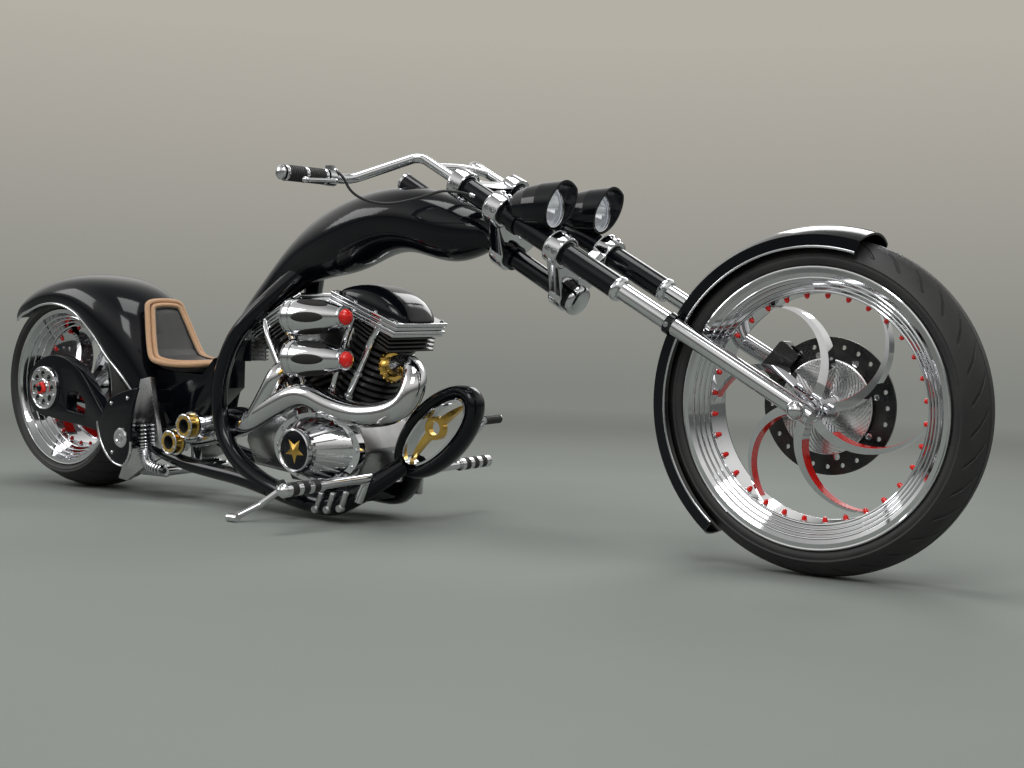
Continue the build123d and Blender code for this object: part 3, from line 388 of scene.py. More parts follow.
FINISHES = {
    "black_paint": make_lacquer(),
    "chrome": handled("chrome_plate", (0.70, 0.71, 0.73), (0.62, 0.62, 0.64), 0.035, 0.10, 1.0),
    "pipe_chrome": make_pipe_chrome(),
    "front_tyre": make_tyre("front_tyre_rubber", FRONT_HUB, 34.0, 0.019, 0.056, 26.0),
    "rear_tyre": make_tyre("rear_tyre_rubber", REAR_HUB, 30.0, 0.030, 0.128, 10.0),
    "front_steel": make_disc("front_disc_steel", FRONT_HUB, (0.045, 0.045, 0.048), (0.085, 0.083, 0.080)),
    "rear_steel": make_disc("rear_disc_steel", REAR_HUB, (0.40, 0.40, 0.41), (0.28, 0.28, 0.28)),
    "alloy": handled("satin_alloy", (0.62, 0.62, 0.63), (0.48, 0.48, 0.48), 0.26, 0.42, 1.0, 0.0, 16.0,
                     0.25, 420.0),
    "black_iron": handled("black_enamel", (0.012, 0.012, 0.013), (0.028, 0.027, 0.026), 0.30, 0.48, 0.0,
                          0.25, 18.0, 0.35, 380.0),
    "bright_alloy": handled("bright_alloy", (0.86, 0.86, 0.87), (0.70, 0.70, 0.70), 0.22, 0.34, 1.0, 0.0,
                            22.0),
    "red": handled("red_enamel", (0.92, 0.012, 0.007), (0.78, 0.010, 0.006), 0.20, 0.32, 0.0, 0.2, 14.0),
    "gold": handled("gold_plate", (0.80, 0.52, 0.13), (0.58, 0.35, 0.08), 0.14, 0.28, 1.0, 0.0, 20.0),
    "leather": make_leather("black_leather", (0.020, 0.019, 0.018), (0.008, 0.008, 0.008), 0.42, 420.0),
    "tan_leather": make_leather("tan_leather", (0.76, 0.47, 0.27), (0.46, 0.25, 0.12), 0.40, 520.0),
    "rubber": handled("grip_rubber", (0.016, 0.016, 0.017), (0.034, 0.033, 0.032), 0.50, 0.70, 0.0, 0.0,
                      20.0, 0.4, 460.0),
    # Soot and painted shade: near black for the sooted tips of the pipes and the dark openings of the
    # intake gills
    "soot_and_shade": handled("pipe_soot_and_shade", (0.006, 0.006, 0.006), (0.016, 0.015, 0.014), 0.75, 0.92, 0.0, 0.0, 30.0,
                    0.4, 500.0),
    "bowl": make_bowl(),
    "lens": make_glass(),
}
# Slots of the finishes that go by another name, and nodes whose finish isn't named by their slot
NODE_FINISHES = {"front_disc": "front_steel", "rear_disc": "rear_steel", "front_tyre": "front_tyre",
                 "rear_tyre": "rear_tyre", "exhaust_pipes": "pipe_chrome", "headlight_bowls": "bowl"}

for part in frame["record"]["subparts"]:
    solid = frame["nodes"][part["node"]]
    solid.data.materials.clear()
    solid.data.materials.append(FINISHES[NODE_FINISHES.get(part["node"], part["material_slot"])])


# Making pieces

# Give a new object its finish and its body
def settle(made, finish, body):
    made.data.materials.append(FINISHES[finish])
    bpy.context.scene.collection.objects.link(made)
    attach(made, body)
    return made


# A finished piece from a form laid out on the upright bike in millimetres
def piece(name, form, finish, body="frame", solid=True):
    bmesh.ops.remove_doubles(form, verts=form.verts, dist=0.02)
    if solid:
        bmesh.ops.recalc_face_normals(form, faces=form.faces)
    bmesh.ops.transform(form, matrix=MM, verts=form.verts)
    mesh = bpy.data.meshes.new(name)
    form.to_mesh(mesh)
    form.free()
    mesh.shade_smooth()
    mesh.set_sharp_from_angle(angle=math.radians(38))
    return settle(bpy.data.objects.new(name, mesh), finish, body)


# A round bead or tube along one or more runs of points
def bead(name, runs, radius, finish, body="frame", closed=False, swell=None):
    line = bpy.data.curves.new(name, "CURVE")
    line.dimensions = "3D"
    line.bevel_depth = radius / 1000
    line.bevel_resolution = 3
    line.resolution_u = 6
    line.use_fill_caps = True
    for run in runs:
        spline = line.splines.new("NURBS")
        spline.points.add(len(run) - 1)
        for point, place in zip(spline.points, run):
            point.co = (*spot(*place), 1)
        if swell:
            for point, share in zip(spline.points, swell):
                point.radius = share / radius
        spline.use_cyclic_u = closed
        spline.use_endpoint_u = not closed
        spline.order_u = 3
    return settle(bpy.data.objects.new(name, line), finish, body)


# A shape turned about an axis: rows of distance along it and radius
def turned(form, rows, centre, axis, steps=40, closed=False):
    axis = Vector(axis).normalized()
    aside = axis.orthogonal().normalized()
    points = [form.verts.new(Vector(centre) + axis * along + aside * radius) for along, radius in rows]
    edges = [form.edges.new(pair) for pair in zip(points, points[1:])]
    if closed:
        edges.append(form.edges.new((points[-1], points[0])))
    bmesh.ops.spin(form, geom=points + edges, cent=centre, axis=axis, angle=math.tau, steps=steps,
                   use_merge=True)


# A round ring about an axis
def ring(form, along, radius, thick, centre, axis, steps=64):
    turns = [i * math.tau / 8 for i in range(8)]
    rows = [(along + thick * math.cos(turn), radius + thick * math.sin(turn)) for turn in turns]
    turned(form, rows, centre, axis, steps, True)


# A frame at a place whose Z points along a direction
def facing(place, direction):
    return Matrix.Translation(place) @ Vector(direction).to_track_quat("Z", "Y").to_matrix().to_4x4()


# A hexagon bolt on its washer, standing out from a place
def bolt(form, place, direction, size, height):
    stand = facing(place, direction)
    bmesh.ops.create_cone(form, cap_ends=True, segments=16, radius1=size * 1.4, radius2=size * 1.3,
                          depth=height * 0.5, matrix=stand @ Matrix.Translation((0, 0, height * 0.2)))
    bmesh.ops.create_cone(form, cap_ends=True, segments=6, radius1=size, radius2=size * 0.9,
                          depth=height, matrix=stand @ Matrix.Translation((0, 0, height * 0.5)))


# A dome headed stud
def stud(form, place, direction, size, height):
    rows = ((0, size), (height * 0.45, size), (height * 0.8, size * 0.75), (height, 0))
    turned(form, rows, place, direction, 12)


# The edges that meet at some of a form's points
def edges_at(verts):
    return list({edge for vert in verts for edge in vert.link_edges})


# Skin a row of loops and close its ends, which have no more sides than given
def skin_loops(form, loops, sides):
    for loop_a, loop_b in zip(loops, loops[1:]):
        bmesh.ops.bridge_loops(form, edges=loop_a + loop_b)
    bmesh.ops.holes_fill(form, edges=form.edges[:], sides=sides)


# Subdivide a piece smoothly
def refine(made, levels):
    finer = made.modifiers.new("finer", "SUBSURF")
    finer.levels = finer.render_levels = levels


# The mesh that a piece's modifiers make of it
def evaluated(made):
    return bpy.data.meshes.new_from_object(made.evaluated_get(bpy.context.evaluated_depsgraph_get()))


# A slab with softened edges
def slab(form, place, size, soft):
    made = bmesh.ops.create_cube(form, size=1.0, matrix=place @ Matrix.Diagonal((*size, 1)))
    edges = edges_at(made["verts"])
    bmesh.ops.bevel(form, geom=edges, offset=soft, offset_type="OFFSET", segments=3, profile=0.5,
                    affect="EDGES", material=-1)


# Points on the arc through three points in side view
def through(a, b, c, count):
    ax, az = a
    bx, bz = b
    cx, cz = c
    d = 2 * (ax * (bz - cz) + bx * (cz - az) + cx * (az - bz))
    a2, b2, c2 = ax * ax + az * az, bx * bx + bz * bz, cx * cx + cz * cz
    ux = (a2 * (bz - cz) + b2 * (cz - az) + c2 * (az - bz)) / d
    uz = (a2 * (cx - bx) + b2 * (ax - cx) + c2 * (bx - ax)) / d
    radius = math.hypot(ax - ux, az - uz)
    start, mid, end = (math.atan2(z - uz, x - ux) for x, z in (a, b, c))
    sweep = (end - start) % math.tau
    if (mid - start) % math.tau > sweep:
        sweep -= math.tau
    return [(ux + radius * math.cos(start + sweep * i / (count - 1)),
             uz + radius * math.sin(start + sweep * i / (count - 1))) for i in range(count)]


# Points round a hub at one place across the bike, between two angles from ahead towards up
def round_hub(hub, radius, left, start, end, count):
    turns = [math.radians(start + (end - start) * i / (count - 1)) for i in range(count)]
    return [(hub[0] + radius * math.cos(turn), left, hub[2] + radius * math.sin(turn)) for turn in turns]


# A strip between two open rows of points
def strip(form, row_a, row_b):
    edges = []
    for row in (row_a, row_b):
        verts = [form.verts.new(place) for place in row]
        edges += [form.edges.new(pair) for pair in zip(verts, verts[1:])]
    return bmesh.ops.bridge_loops(form, edges=edges)["faces"]


# Raise faces into a solid by moving their copy
def raise_faces(form, faces, move):
    made = bmesh.ops.extrude_face_region(form, geom=faces)["geom"]
    bmesh.ops.translate(form, verts=[v for v in made if isinstance(v, bmesh.types.BMVert)], vec=move)


# Copy solids with their sharp edges rounded over, as pieces that stand for them
def softened(node, width, body="frame", angle=32):
    solid = frame["nodes"][node]
    form = bmesh.new()
    form.from_mesh(solid.data)
    bmesh.ops.remove_doubles(form, verts=form.verts, dist=0.00002)
    bmesh.ops.dissolve_limit(form, angle_limit=math.radians(1.0), verts=form.verts, edges=form.edges)
    limit = math.radians(angle)
    sharp = [edge for edge in form.edges if edge.is_manifold and edge.calc_face_angle() > limit]
    bmesh.ops.bevel(form, geom=sharp, offset=width / 1000, offset_type="OFFSET", segments=3, profile=0.5,
                    affect="EDGES", clamp_overlap=True, material=-1)
    mesh = bpy.data.meshes.new(node + "_rounded")
    form.to_mesh(mesh)
    form.free()
    mesh.materials.clear()
    mesh.shade_smooth()
    mesh.set_sharp_from_angle(angle=math.radians(50))
    made = bpy.data.objects.new(node + "_rounded", mesh)
    mesh.materials.append(solid.data.materials[0])
    bpy.context.scene.collection.objects.link(made)
    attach(made, body)
    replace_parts(made, node)


# Wheels

# Half sections of the tyres from the middle of the tread round to the middle of the lining: left, radius
FRONT_TREAD = ((0, 370), (9, 369.4), (10.5, 366.4), (13.5, 366.1), (15, 368.4), (28, 364.3), (42, 356.5),
               (55, 344.3), (62, 337.5), (66.5, 332), (68.6, 329), (67.0, 325), (68.2, 321), (66.5, 315),
               (63, 309), (60, 306), (60, 292), (49, 292), (57, 327), (46, 336), (0, 359))
REAR_TREAD = ((0, 335), (22, 333.8), (24, 329.8), (29, 329.4), (31, 332.6), (60, 325.8), (90, 313.6),
              (116, 297.9), (128, 291), (138, 284), (144.6, 278.5), (145, 275), (142.6, 271), (143.2, 267),
              (138, 259), (127, 254), (127, 241), (114, 241), (132, 276), (104, 288), (0, 322))


def make_tyre_piece(name, rows, hub, finish, body):
    form = bmesh.new()
    loop = list(rows) + [(-left, radius) for left, radius in reversed(rows[1:-1])]
    turned(form, loop, hub, ACROSS, 128, True)
    tyre = piece(name + "_rubber", form, finish, body)
    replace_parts(tyre, name)


# Rolled steps down the dish of a rim, on both sides, with a bead at the lip
def make_rim_steps(name, hub, band, lip, body):
    form = bmesh.new()
    for sign in (-1, 1):
        for share, thick in ((0.06, 3.0), (0.30, 2.2), (0.52, 2.2), (0.74, 2.6)):
            left = band[0] + (lip[0] - band[0]) * share
            radius = band[1] + (lip[1] - band[1]) * share
            ring(form, sign * left, radius, thick, hub, ACROSS, 96)
        ring(form, sign * (lip[0] - 2), lip[1] + 12, 3.4, hub, ACROSS, 96)
    piece(name, form, "chrome", body)


# Studs that stand in from the band of a rim
def make_rim_studs(name, hub, band, left, count, size, body):
    form = bmesh.new()
    washers = bmesh.new()
    for i in range(count):
        turn = (i + 0.5) * math.tau / count
        out = Vector((math.cos(turn), 0, math.sin(turn)))
        place = Vector(hub) + out * (band + 0.5) + Vector((0, left, 0))
        stud(form, place, -out, size, size * 2.4)
        turned(washers, ((0, size * 1.5), (2.4, size * 1.4), (2.4, size)), place, -out, 12)
    piece(name, form, "red", body)
    piece(name + "_washers", washers, "chrome", body)


# Inlay on the hollow face of each curled spoke; near and far give the spoke's depth at a radius
def make_spoke_inlays(name, hub, start, band, root, tip, near, far, body):
    form = bmesh.new()
    for i in range(6):
        knots = []
        for radius, turn, width in ((start, 0.0, root), (band * 0.62, 26.04, (root + tip) / 2),
                                    (band + 12, 66.96, tip)):
            angle = math.radians(60 * i + turn) + (0.5 * width + 0.8) / radius
            knots.append((radius * math.cos(angle), radius * math.sin(angle)))
        points = [p for p in through(*knots, 26) if 58 < math.hypot(*p) < band - 3]
        rows = []
        for depth, inset in ((near, 2.5), (far, -2.5)):
            rows.append([(hub[0] + x, depth(math.hypot(x, z)) + inset, hub[2] + z) for x, z in points])
        strip(form, *rows)
    bmesh.ops.solidify(form, geom=form.faces[:], thickness=1.2)
    piece(name, form, "red", body)


# Turbine of thin curled fins on the carrier of the front disc
def make_disc_turbine():
    form = bmesh.new()
    for i in range(44):
        rows = []
        for aside in (-0.052, 0.052):
            row = []
            for k in range(8):
                radius = 33 + 71 * k / 7
                angle = i * math.tau / 44 + math.radians(58) * (k / 7) ** 1.3 + aside
                row.append((FRONT_HUB[0] + radius * math.cos(angle), 31.8,
                            FRONT_HUB[2] + radius * math.sin(angle)))
            rows.append(row)
        raise_faces(form, strip(form, *rows), (0, -9, 0))
    ring(form, 30, 104, 3.0, FRONT_HUB, ACROSS)
    ring(form, 26, 34, 4.0, FRONT_HUB, ACROSS)
    turned(form, ((31.9, 33), (29.5, 33), (29.5, 104), (31.9, 104)), FRONT_HUB, ACROSS, 64, True)
    piece("disc_turbine", form, "bright_alloy", "front_wheel")
    buttons = bmesh.new()
    for i in range(8):
        turn = (i + 0.25) * math.tau / 8
        place = (FRONT_HUB[0] + 113 * math.cos(turn), 42, FRONT_HUB[2] + 113 * math.sin(turn))
        turned(buttons, ((0, 8), (3, 7.5), (3, 4.5), (1.5, 4), (1.5, 0)), place, (0, -1, 0), 20)
    piece("disc_buttons", buttons, "chrome", "front_wheel")


# Hub trims: stepped collars on the spokes' hubs and domed nuts on the axle ends
def make_hubs():
    form = bmesh.new()
    for sign in (-1, 1):
        turned(form, ((0, 31.6), (2, 30), (2, 26), (5, 24), (5, 18.5)), (WHEELBASE, sign * 60, FRONT_R),
               (0, sign, 0), 48)
    piece("front_hub_collars", form, "chrome", "front_wheel")
    form = bmesh.new()
    for sign in (-1, 1):
        turned(form, ((0, 16.9), (5, 16.4), (10, 13.5), (14, 8.5), (15.5, 0)),
               (WHEELBASE, sign * 132, FRONT_R), (0, sign, 0), 32)
        ring(form, sign * 130, 19.5, 2.2, FRONT_HUB, ACROSS, 40)
    piece("front_axle_domes", form, "chrome", "steering")
    form = bmesh.new()
    for sign in (-1, 1):
        turned(form, ((0, 43.4), (3, 42), (3, 34), (8, 31), (8, 21)), (0, sign * 130, REAR_R),
               (0, sign, 0), 48)
    piece("rear_hub_collars", form, "chrome", "rear_wheel")
    form = bmesh.new()
    caps = bmesh.new()
    for sign in (-1, 1):
        nut = facing((0, sign * 210, REAR_R), (0, sign, 0)) @ Matrix.Rotation(math.radians(20), 4, "Z")
        slab(form, nut @ Matrix.Translation((0, 0, 6)), (34, 34, 13), 4)
        turned(caps, ((11, 12), (15, 11.5), (18, 8), (19, 0)), (0, sign * 210, REAR_R), (0, sign, 0), 32)
    piece("rear_axle_nuts", form, "red")
    piece("rear_nut_caps", caps, "black_paint")
    form = bmesh.new()
    for sign in (-1, 1):
        ring(form, sign * 207, 66, 3.4, REAR_HUB, ACROSS)
        ring(form, sign * 208.5, 27, 3.0, REAR_HUB, ACROSS)
        for i in range(8):
            turn = (i + 0.5) * math.tau / 8
            place = (57 * math.cos(turn), sign * 208, REAR_R + 57 * math.sin(turn))
            bolt(form, place, (0, sign, 0), 3.6, 3.4)
    piece("axle_disc_trim", form, "chrome")


make_tyre_piece("front_tyre", FRONT_TREAD, FRONT_HUB, "front_tyre", "front_wheel")
make_tyre_piece("rear_tyre", REAR_TREAD, REAR_HUB, "rear_tyre", "rear_wheel")
make_rim_steps("front_rim_steps", FRONT_HUB, (36, 250), (66, 291), "front_wheel")
make_rim_steps("rear_rim_steps", REAR_HUB, (62, 198), (133, 239), "rear_wheel")
make_rim_studs("front_rim_studs", FRONT_HUB, 250, -24, 32, 6.0, "front_wheel")
make_rim_studs("rear_rim_studs", REAR_HUB, 198, -52, 24, 6.0, "rear_wheel")
make_spoke_inlays("front_spoke_inlays", FRONT_HUB, 20, 250, 24, 9, lambda r: -58 + 44 * (r - 60) / 190,
                  lambda r: -18 + 32 * (r - 60) / 190, "front_wheel")
make_spoke_inlays("rear_spoke_inlays", REAR_HUB, 30, 198, 30, 12, lambda r: -105 + 60 * (r - 60) / 138,
                  lambda r: -50 + 40 * (r - 60) / 138, "rear_wheel")
make_disc_turbine()
make_hubs()


# Front end

# How far the neck tube lies behind the fork's plane
NECK_BACK = -115


def make_fork_trim():
    form = bmesh.new()
    bolts = bmesh.new()
    for sign in (-1, 1):
        leg = sign * 107
        turned(form, ((-10, 21.2), (-10, 27), (-4, 30.5), (0, 30.8), (6, 29.2), (6, 28.2)),
               fork_point(520, leg), FORK_UP, 48)
        turned(form, ((0, 27.8), (4, 27.8), (7, 25.5), (7, 19), (11, 17.5), (11, 12.9)),
               fork_point(1075, leg), FORK_UP, 48)
        for up in (690, 731, 898, 939):
            ring(form, 0, 38.5, 2.2, fork_point(up, leg), FORK_UP, 56)
        ring(form, 0, 37.5, 2.0, fork_point(1033, leg), FORK_UP, 56)
        for up in (700, 720, 908, 928):
            bolt(bolts, fork_point(up, leg, 38.6), FORK_FRONT, 5.2, 6)
            bolt(bolts, fork_point(up, sign * 146.5), (0, sign, 0), 5.2, 6)
        bolt(bolts, fork_point(1052, sign * 145.5), (0, sign, 0), 5.5, 6)
        bolt(bolts, fork_point(856, sign * 107, 45.5), FORK_FRONT, 4.5, 5)
        bolt(bolts, fork_point(360, sign * 132.6), (0, sign, 0), 5.0, 5)
    neck = fork_point(940, 0, NECK_BACK)
    turned(form, ((0, 38), (5, 38), (8, 34), (8, 27)), neck, FORK_UP, 48)
    piece("fork_trim", form, "chrome", "steering")
    caps = bmesh.new()
    turned(caps, ((-6, 30), (-6, 39.5), (3, 39.5), (9, 35), (13, 22), (15, 0)),
           fork_point(668, 0, NECK_BACK), -Vector(FORK_UP), 48)
    turned(caps, ((-6, 20), (-6, 25.6), (2, 25.6), (6, 22), (9, 13), (10, 0)),
           fork_point(1312, 0, NECK_BACK), FORK_UP, 40)
    piece("neck_caps", caps, "chrome")
    piece("clamp_bolts", bolts, "chrome", "steering")


# Lamps: a bezel ring and a bulb in its holder
def make_lamp_trim():
    bezels = bmesh.new()
    bulbs = bmesh.new()
    for sign in (-1, 1):
        centre = (1915, sign * 105, 830)
        ring(bezels, -7, 50.5, 2.6, centre, (1, 0, 0), 64)
        turned(bulbs, ((-57, 9), (-44, 9), (-42, 7), (-34, 7), (-28, 5.5), (-24, 3), (-23, 0)), centre,
               (1, 0, 0), 24)
    piece("lamp_bezels", bezels, "chrome", "steering")
    piece("lamp_bulbs", bulbs, "alloy", "steering")


# Where the straight end of a handlebar lies at a distance from the middle, and its direction
def bar_end(sign, left):
    share = (left - 345) / 133
    along = Vector((-20, sign * 133, 2)).normalized()
    return Vector((1398 - 20 * share, sign * left, 910 + 2 * share)), along


def make_grip_trim():
    bands = bmesh.new()
    ribs = bmesh.new()
    for sign in (-1, 1):
        for left, radius in ((352, 19.2), (410, 19.4), (466, 19.2)):
            place, along = bar_end(sign, left)
            rows = ((-4, 17.6), (-4, radius), (-2, radius + 1), (2, radius + 1), (4, radius), (4, 17.6))
            turned(bands, rows, place, along, 40)
        place, along = bar_end(sign, 474)
        turned(bands, ((0, 13.2), (0, 17), (5, 17.5), (10, 14), (12.5, 7), (13, 0)), place, along, 32)
        for start in (360, 418):
            for i in range(7):
                place, along = bar_end(sign, start + i * 6.6)
                ring(ribs, 0, 17.9, 1.7, place, along, 32)
    piece("grip_bands", bands, "chrome", "steering")
    piece("grip_ribs", ribs, "rubber", "steering")


# Trim round the front fender: bright along the outside, red line inside the lip
def make_front_fender_trim():
    bright = [round_hub(FRONT_HUB, 346, sign * 80.5, 72.4, 229.6, 60) for sign in (-1, 1)]
    bead("front_fender_edge", bright, 3.0, "chrome", "steering")
    inner = [round_hub(FRONT_HUB, 352, sign * 77.4, 73, 229, 60) for sign in (-1, 1)]
    bead("front_fender_line", inner, 1.8, "red", "steering")
    ridge = [round_hub(FRONT_HUB, 392.5, 0, 73, 229, 60)]
    bead("front_fender_ridge", ridge, 3.0, "black_paint", "steering")


# Brake hose, along the same route as its solid
HOSE = ((1402, -334, 928), (1428, -322, 924), (1440, -300, 866), (1490, -240, 842), (1570, -190, 860),
        (1640, -164, 884), (1697, -128, 862))


def make_brake_hose():
    hose = bead("brake_line", [HOSE], 3.5, "rubber", "steering")
    form = bmesh.new()
    for place, aim in ((HOSE[0], HOSE[1]), (HOSE[-1], HOSE[-2])):
        along = Vector(aim) - Vector(place)
        turned(form, ((0, 0), (0, 7), (6, 7), (7, 5.6), (15, 5.4), (17, 4.2), (17, 3.4)), place, along, 20)
    ends = piece("hose_unions", form, "chrome", "steering")
    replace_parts(hose, "brake_hose")


make_fork_trim()
make_lamp_trim()
make_grip_trim()
make_front_fender_trim()
make_brake_hose()


# Engine

# A point on a cylinder's own frame: distance from the crank, to the left, and forward of the bore
def bore_point(lean, out, left, fore):
    turn = math.radians(lean)
    return Vector((1128 + out * math.sin(turn) + fore * math.cos(turn), left,
                   215 + out * math.cos(turn) - fore * math.sin(turn)))


def bore_frame(lean, out):
    return Matrix.Translation(bore_point(lean, out, 0, 0)) @ Matrix.Rotation(math.radians(lean), 4, "Y")


# Layered slabs on the heads: lean of the bore, x and z of the top's middle, turn, length, half width
HEAD_SLABS = ((28, 1298, 591, 21, 254, 106), (-28, 946, 585, -24, 230, 98))


def head_frame(x, z, turn):
    return Matrix.Translation((x, 0, z)) @ Matrix.Rotation(math.radians(turn), 4, "Y")


def make_rocker_trim():
    plates = bmesh.new()
    cores = bmesh.new()
    bolts = bmesh.new()
    for lean, x, z, turn, length, half in HEAD_SLABS:
        top = head_frame(x, z, turn)
        for drop, thick, inset in ((5, 10, 0), (16.5, 9, 3), (27, 8, 0), (36.5, 8, 3)):
            size = (length - 2 * inset, 2 * (half - inset), thick)
            slab(plates, top @ Matrix.Translation((0, 0, -drop)), size, 2.2)
        slab(cores, top @ Matrix.Translation((0, 0, -24)), (length - 14, 2 * half - 14, 36), 2)
        for out in (342, 353, 364, 375):
            slab(cores, bore_frame(lean, out), (192 - 0.5 * (out - 342), 190, 5.5), 1.6)
        slab(cores, bore_frame(lean, 358), (156, 156, 46), 3)
        up = top.to_3x3() @ Vector((0, 0, 1))
        for fore in (-0.5, -0.17, 0.17, 0.5):
            for sign in (-1, 1):
                bolt(bolts, top @ Vector((fore * (length - 26), sign * (half - 11), -0.4)), up, 4.6, 5)
    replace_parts(piece("rocker_slabs", plates, "chrome"), "rocker_covers")
    piece("head_fins", cores, "black_iron")
    piece("rocker_bolts", bolts, "chrome")
    lid = bmesh.new()
    slab(lid, head_frame(*HEAD_SLABS[1][1:4]) @ Matrix.Translation((0, 0, 5)), (168, 146, 12), 5)
    for left in (-18, -78):
        slab(lid, Matrix.Translation((792, left, 466)), (70, 5, 64), 2)
    piece("black_covers", lid, "black_paint")


# Pushrod tubes in side view: x and z of the foot, then of the head
PUSHRODS = ((1150, 280, 1240, 530), (1195, 270, 1330, 510), (1106, 280, 1016, 530), (1061, 270, 926, 510))
PUSHROD_LEFT = -104.5


# Collars and seals on the tubes, and their tops up to the slabs
def make_pushrod_collars():
    form = bmesh.new()
    caps = bmesh.new()
    tops = []
    for x0, z0, x1, z1 in PUSHRODS:
        foot, head = Vector((x0, PUSHROD_LEFT, z0)), Vector((x1, PUSHROD_LEFT, z1))
        along = (head - foot).normalized()
        for share in (0.34, 0.60):
            turned(form, ((-5, 9), (-5, 12), (0, 13), (5, 12), (5, 9)), foot.lerp(head, share), along, 24)
        turned(caps, ((-12, 9), (-12, 13), (-6, 15), (6, 15), (12, 13), (12, 9)), foot.lerp(head, 0.22),
               along, 28)
        tops.append([head - along * 14, head + along * 20 + Vector((0, 5, 0)),
                     head + along * 56 + Vector((0, 14, 0))])
    bead("pushrod_tops", tops, 9.6, "chrome")
    piece("pushrod_collars", form, "chrome")
    piece("pushrod_seals", caps, "red")


# Intake bullets: gills along the flanks, near black as painted shade in their openings, a band at the tail
# and a collar under each cap
def make_intake_trim():
    gills = bmesh.new()
    bands = bmesh.new()
    gilt = bmesh.new()
    for height in (564, 452):
        centre = (1096, -170, height)
        for turn in range(0, 360, 60):
            lift = Matrix.Translation(centre) @ Matrix.Rotation(math.radians(turn), 4, "X")
            dip = lift @ Matrix.Translation((96, -44.4, 0)) @ Matrix.Rotation(math.radians(6.5), 4, "Z")
            bmesh.ops.create_uvsphere(gills, u_segments=20, v_segments=10, radius=1,
                                      matrix=dip @ Matrix.Diagonal((54, 4.0, 14, 1)))
        ring(bands, 4, 50.4, 2.6, centre, (1, 0, 0))
        ring(bands, 28, 50.2, 1.8, centre, (1, 0, 0))
        turned(bands, ((188, 25), (188, 29), (193, 30.5), (198, 29), (198, 20)), centre, (1, 0, 0), 40)
        turned(gilt, ((0, 46), (-5, 45), (-9, 36), (-9, 24), (-4, 20), (-4, 0)), centre, (1, 0, 0), 40)
    # Painted shade: the gills are near black for the dark of their openings
    piece("intake_gills", gills, "soot_and_shade")
    piece("intake_bands", bands, "chrome")
    piece("intake_tails", gilt, "gold")


# Cam cover: bolted rim, ribs down the cone and a plain star on the badge
CAM = (1128, 0, 203)
BADGE = (1128, -199.2, 203)


def make_cam_trim():
    bolts = bmesh.new()
    for i in range(12):
        turn = i * math.tau / 12
        bolt(bolts, (1128 + 152 * math.cos(turn), -116.8, 203 + 90 * math.sin(turn)), (0, -1, 0), 5, 6)
    ring(bolts, -189, 42, 3.6, CAM, ACROSS)
    piece("cam_bolts", bolts, "chrome")
    ribs = bmesh.new()
    for i in range(20):
        turn = (i + 0.5) * math.tau / 20
        row_a, row_b = [], []
        for share in (0.0, 0.34, 0.68, 1.0):
            wide = 126 - 76 * share
            high = 80 - 32 * share
            place = Vector((CAM[0] + wide * math.cos(turn), -117 - 70 * share ** 0.9,
                            CAM[2] + high * math.sin(turn)))
            aside = Vector((-math.sin(turn), 0, math.cos(turn))) * 3.2
            row_a.append(place - aside)
            row_b.append(place + aside)
        raise_faces(ribs, strip(ribs, row_a, row_b), Vector((math.cos(turn), -0.9, math.sin(turn))) * 7)
    piece("cam_ribs", ribs, "alloy")
    rim = bmesh.new()
    turned(rim, ((-160, 56), (-178, 62), (-194, 62), (-204, 59), (-206, 56), (-204, 53), (-199, 51),
                 (-180, 51)), CAM, ACROSS, 64, True)
    piece("badge_rim", rim, "chrome")
    face = bmesh.new()
    turned(face, ((-184, 0), (-184, 52), (-198.5, 52), (-199.5, 50), (-199.5, 0)), CAM, ACROSS, 64)
    piece("badge_face", face, "black_paint")
    star = bmesh.new()
    disc = bmesh.ops.create_circle(star, cap_ends=True, segments=10, radius=1,
                                   matrix=facing(BADGE, (0, -1, 0)))
    for i, vert in enumerate(disc["verts"]):
        reach = 38 if i % 2 else 16
        vert.co = Vector(BADGE) + (vert.co - Vector(BADGE)) * reach
    peak = bmesh.ops.poke(star, faces=star.faces[:])["verts"]
    bmesh.ops.translate(star, verts=peak, vec=(0, -5, 0))
    piece("badge_star", star, "gold")


# Left side: bolts and inspection caps of the primary cover
def make_primary_trim():
    bolts = bmesh.new()
    for turn in range(-75, 76, 25):
        angle = math.radians(turn)
        bolt(bolts, (1128 + 96 * math.cos(angle), 155, 215 + 96 * math.sin(angle)), (0, 1, 0), 5, 6)
    for turn in range(115, 246, 26):
        angle = math.radians(turn)
        bolt(bolts, (905 + 60 * math.cos(angle), 155, 215 + 60 * math.sin(angle)), (0, 1, 0), 5, 6)
    for share in (0.25, 0.5, 0.75):
        for sign in (-1, 1):
            bolt(bolts, (1128 - 223 * share, 155, 215 + sign * (96 - 36 * share)), (0, 1, 0), 5, 6)
    piece("primary_bolts", bolts, "chrome")
    caps = bmesh.new()
    turned(caps, ((0, 68), (3, 68), (6, 64), (6, 50), (9, 46), (9, 20), (14, 16), (16, 0)),
           (1128, 155, 215), (0, 1, 0), 64)
    turned(caps, ((0, 40), (3, 40), (6, 36), (6, 22), (9, 18), (10, 0)), (905, 155, 215), (0, 1, 0), 48)
    piece("primary_caps", caps, "chrome")
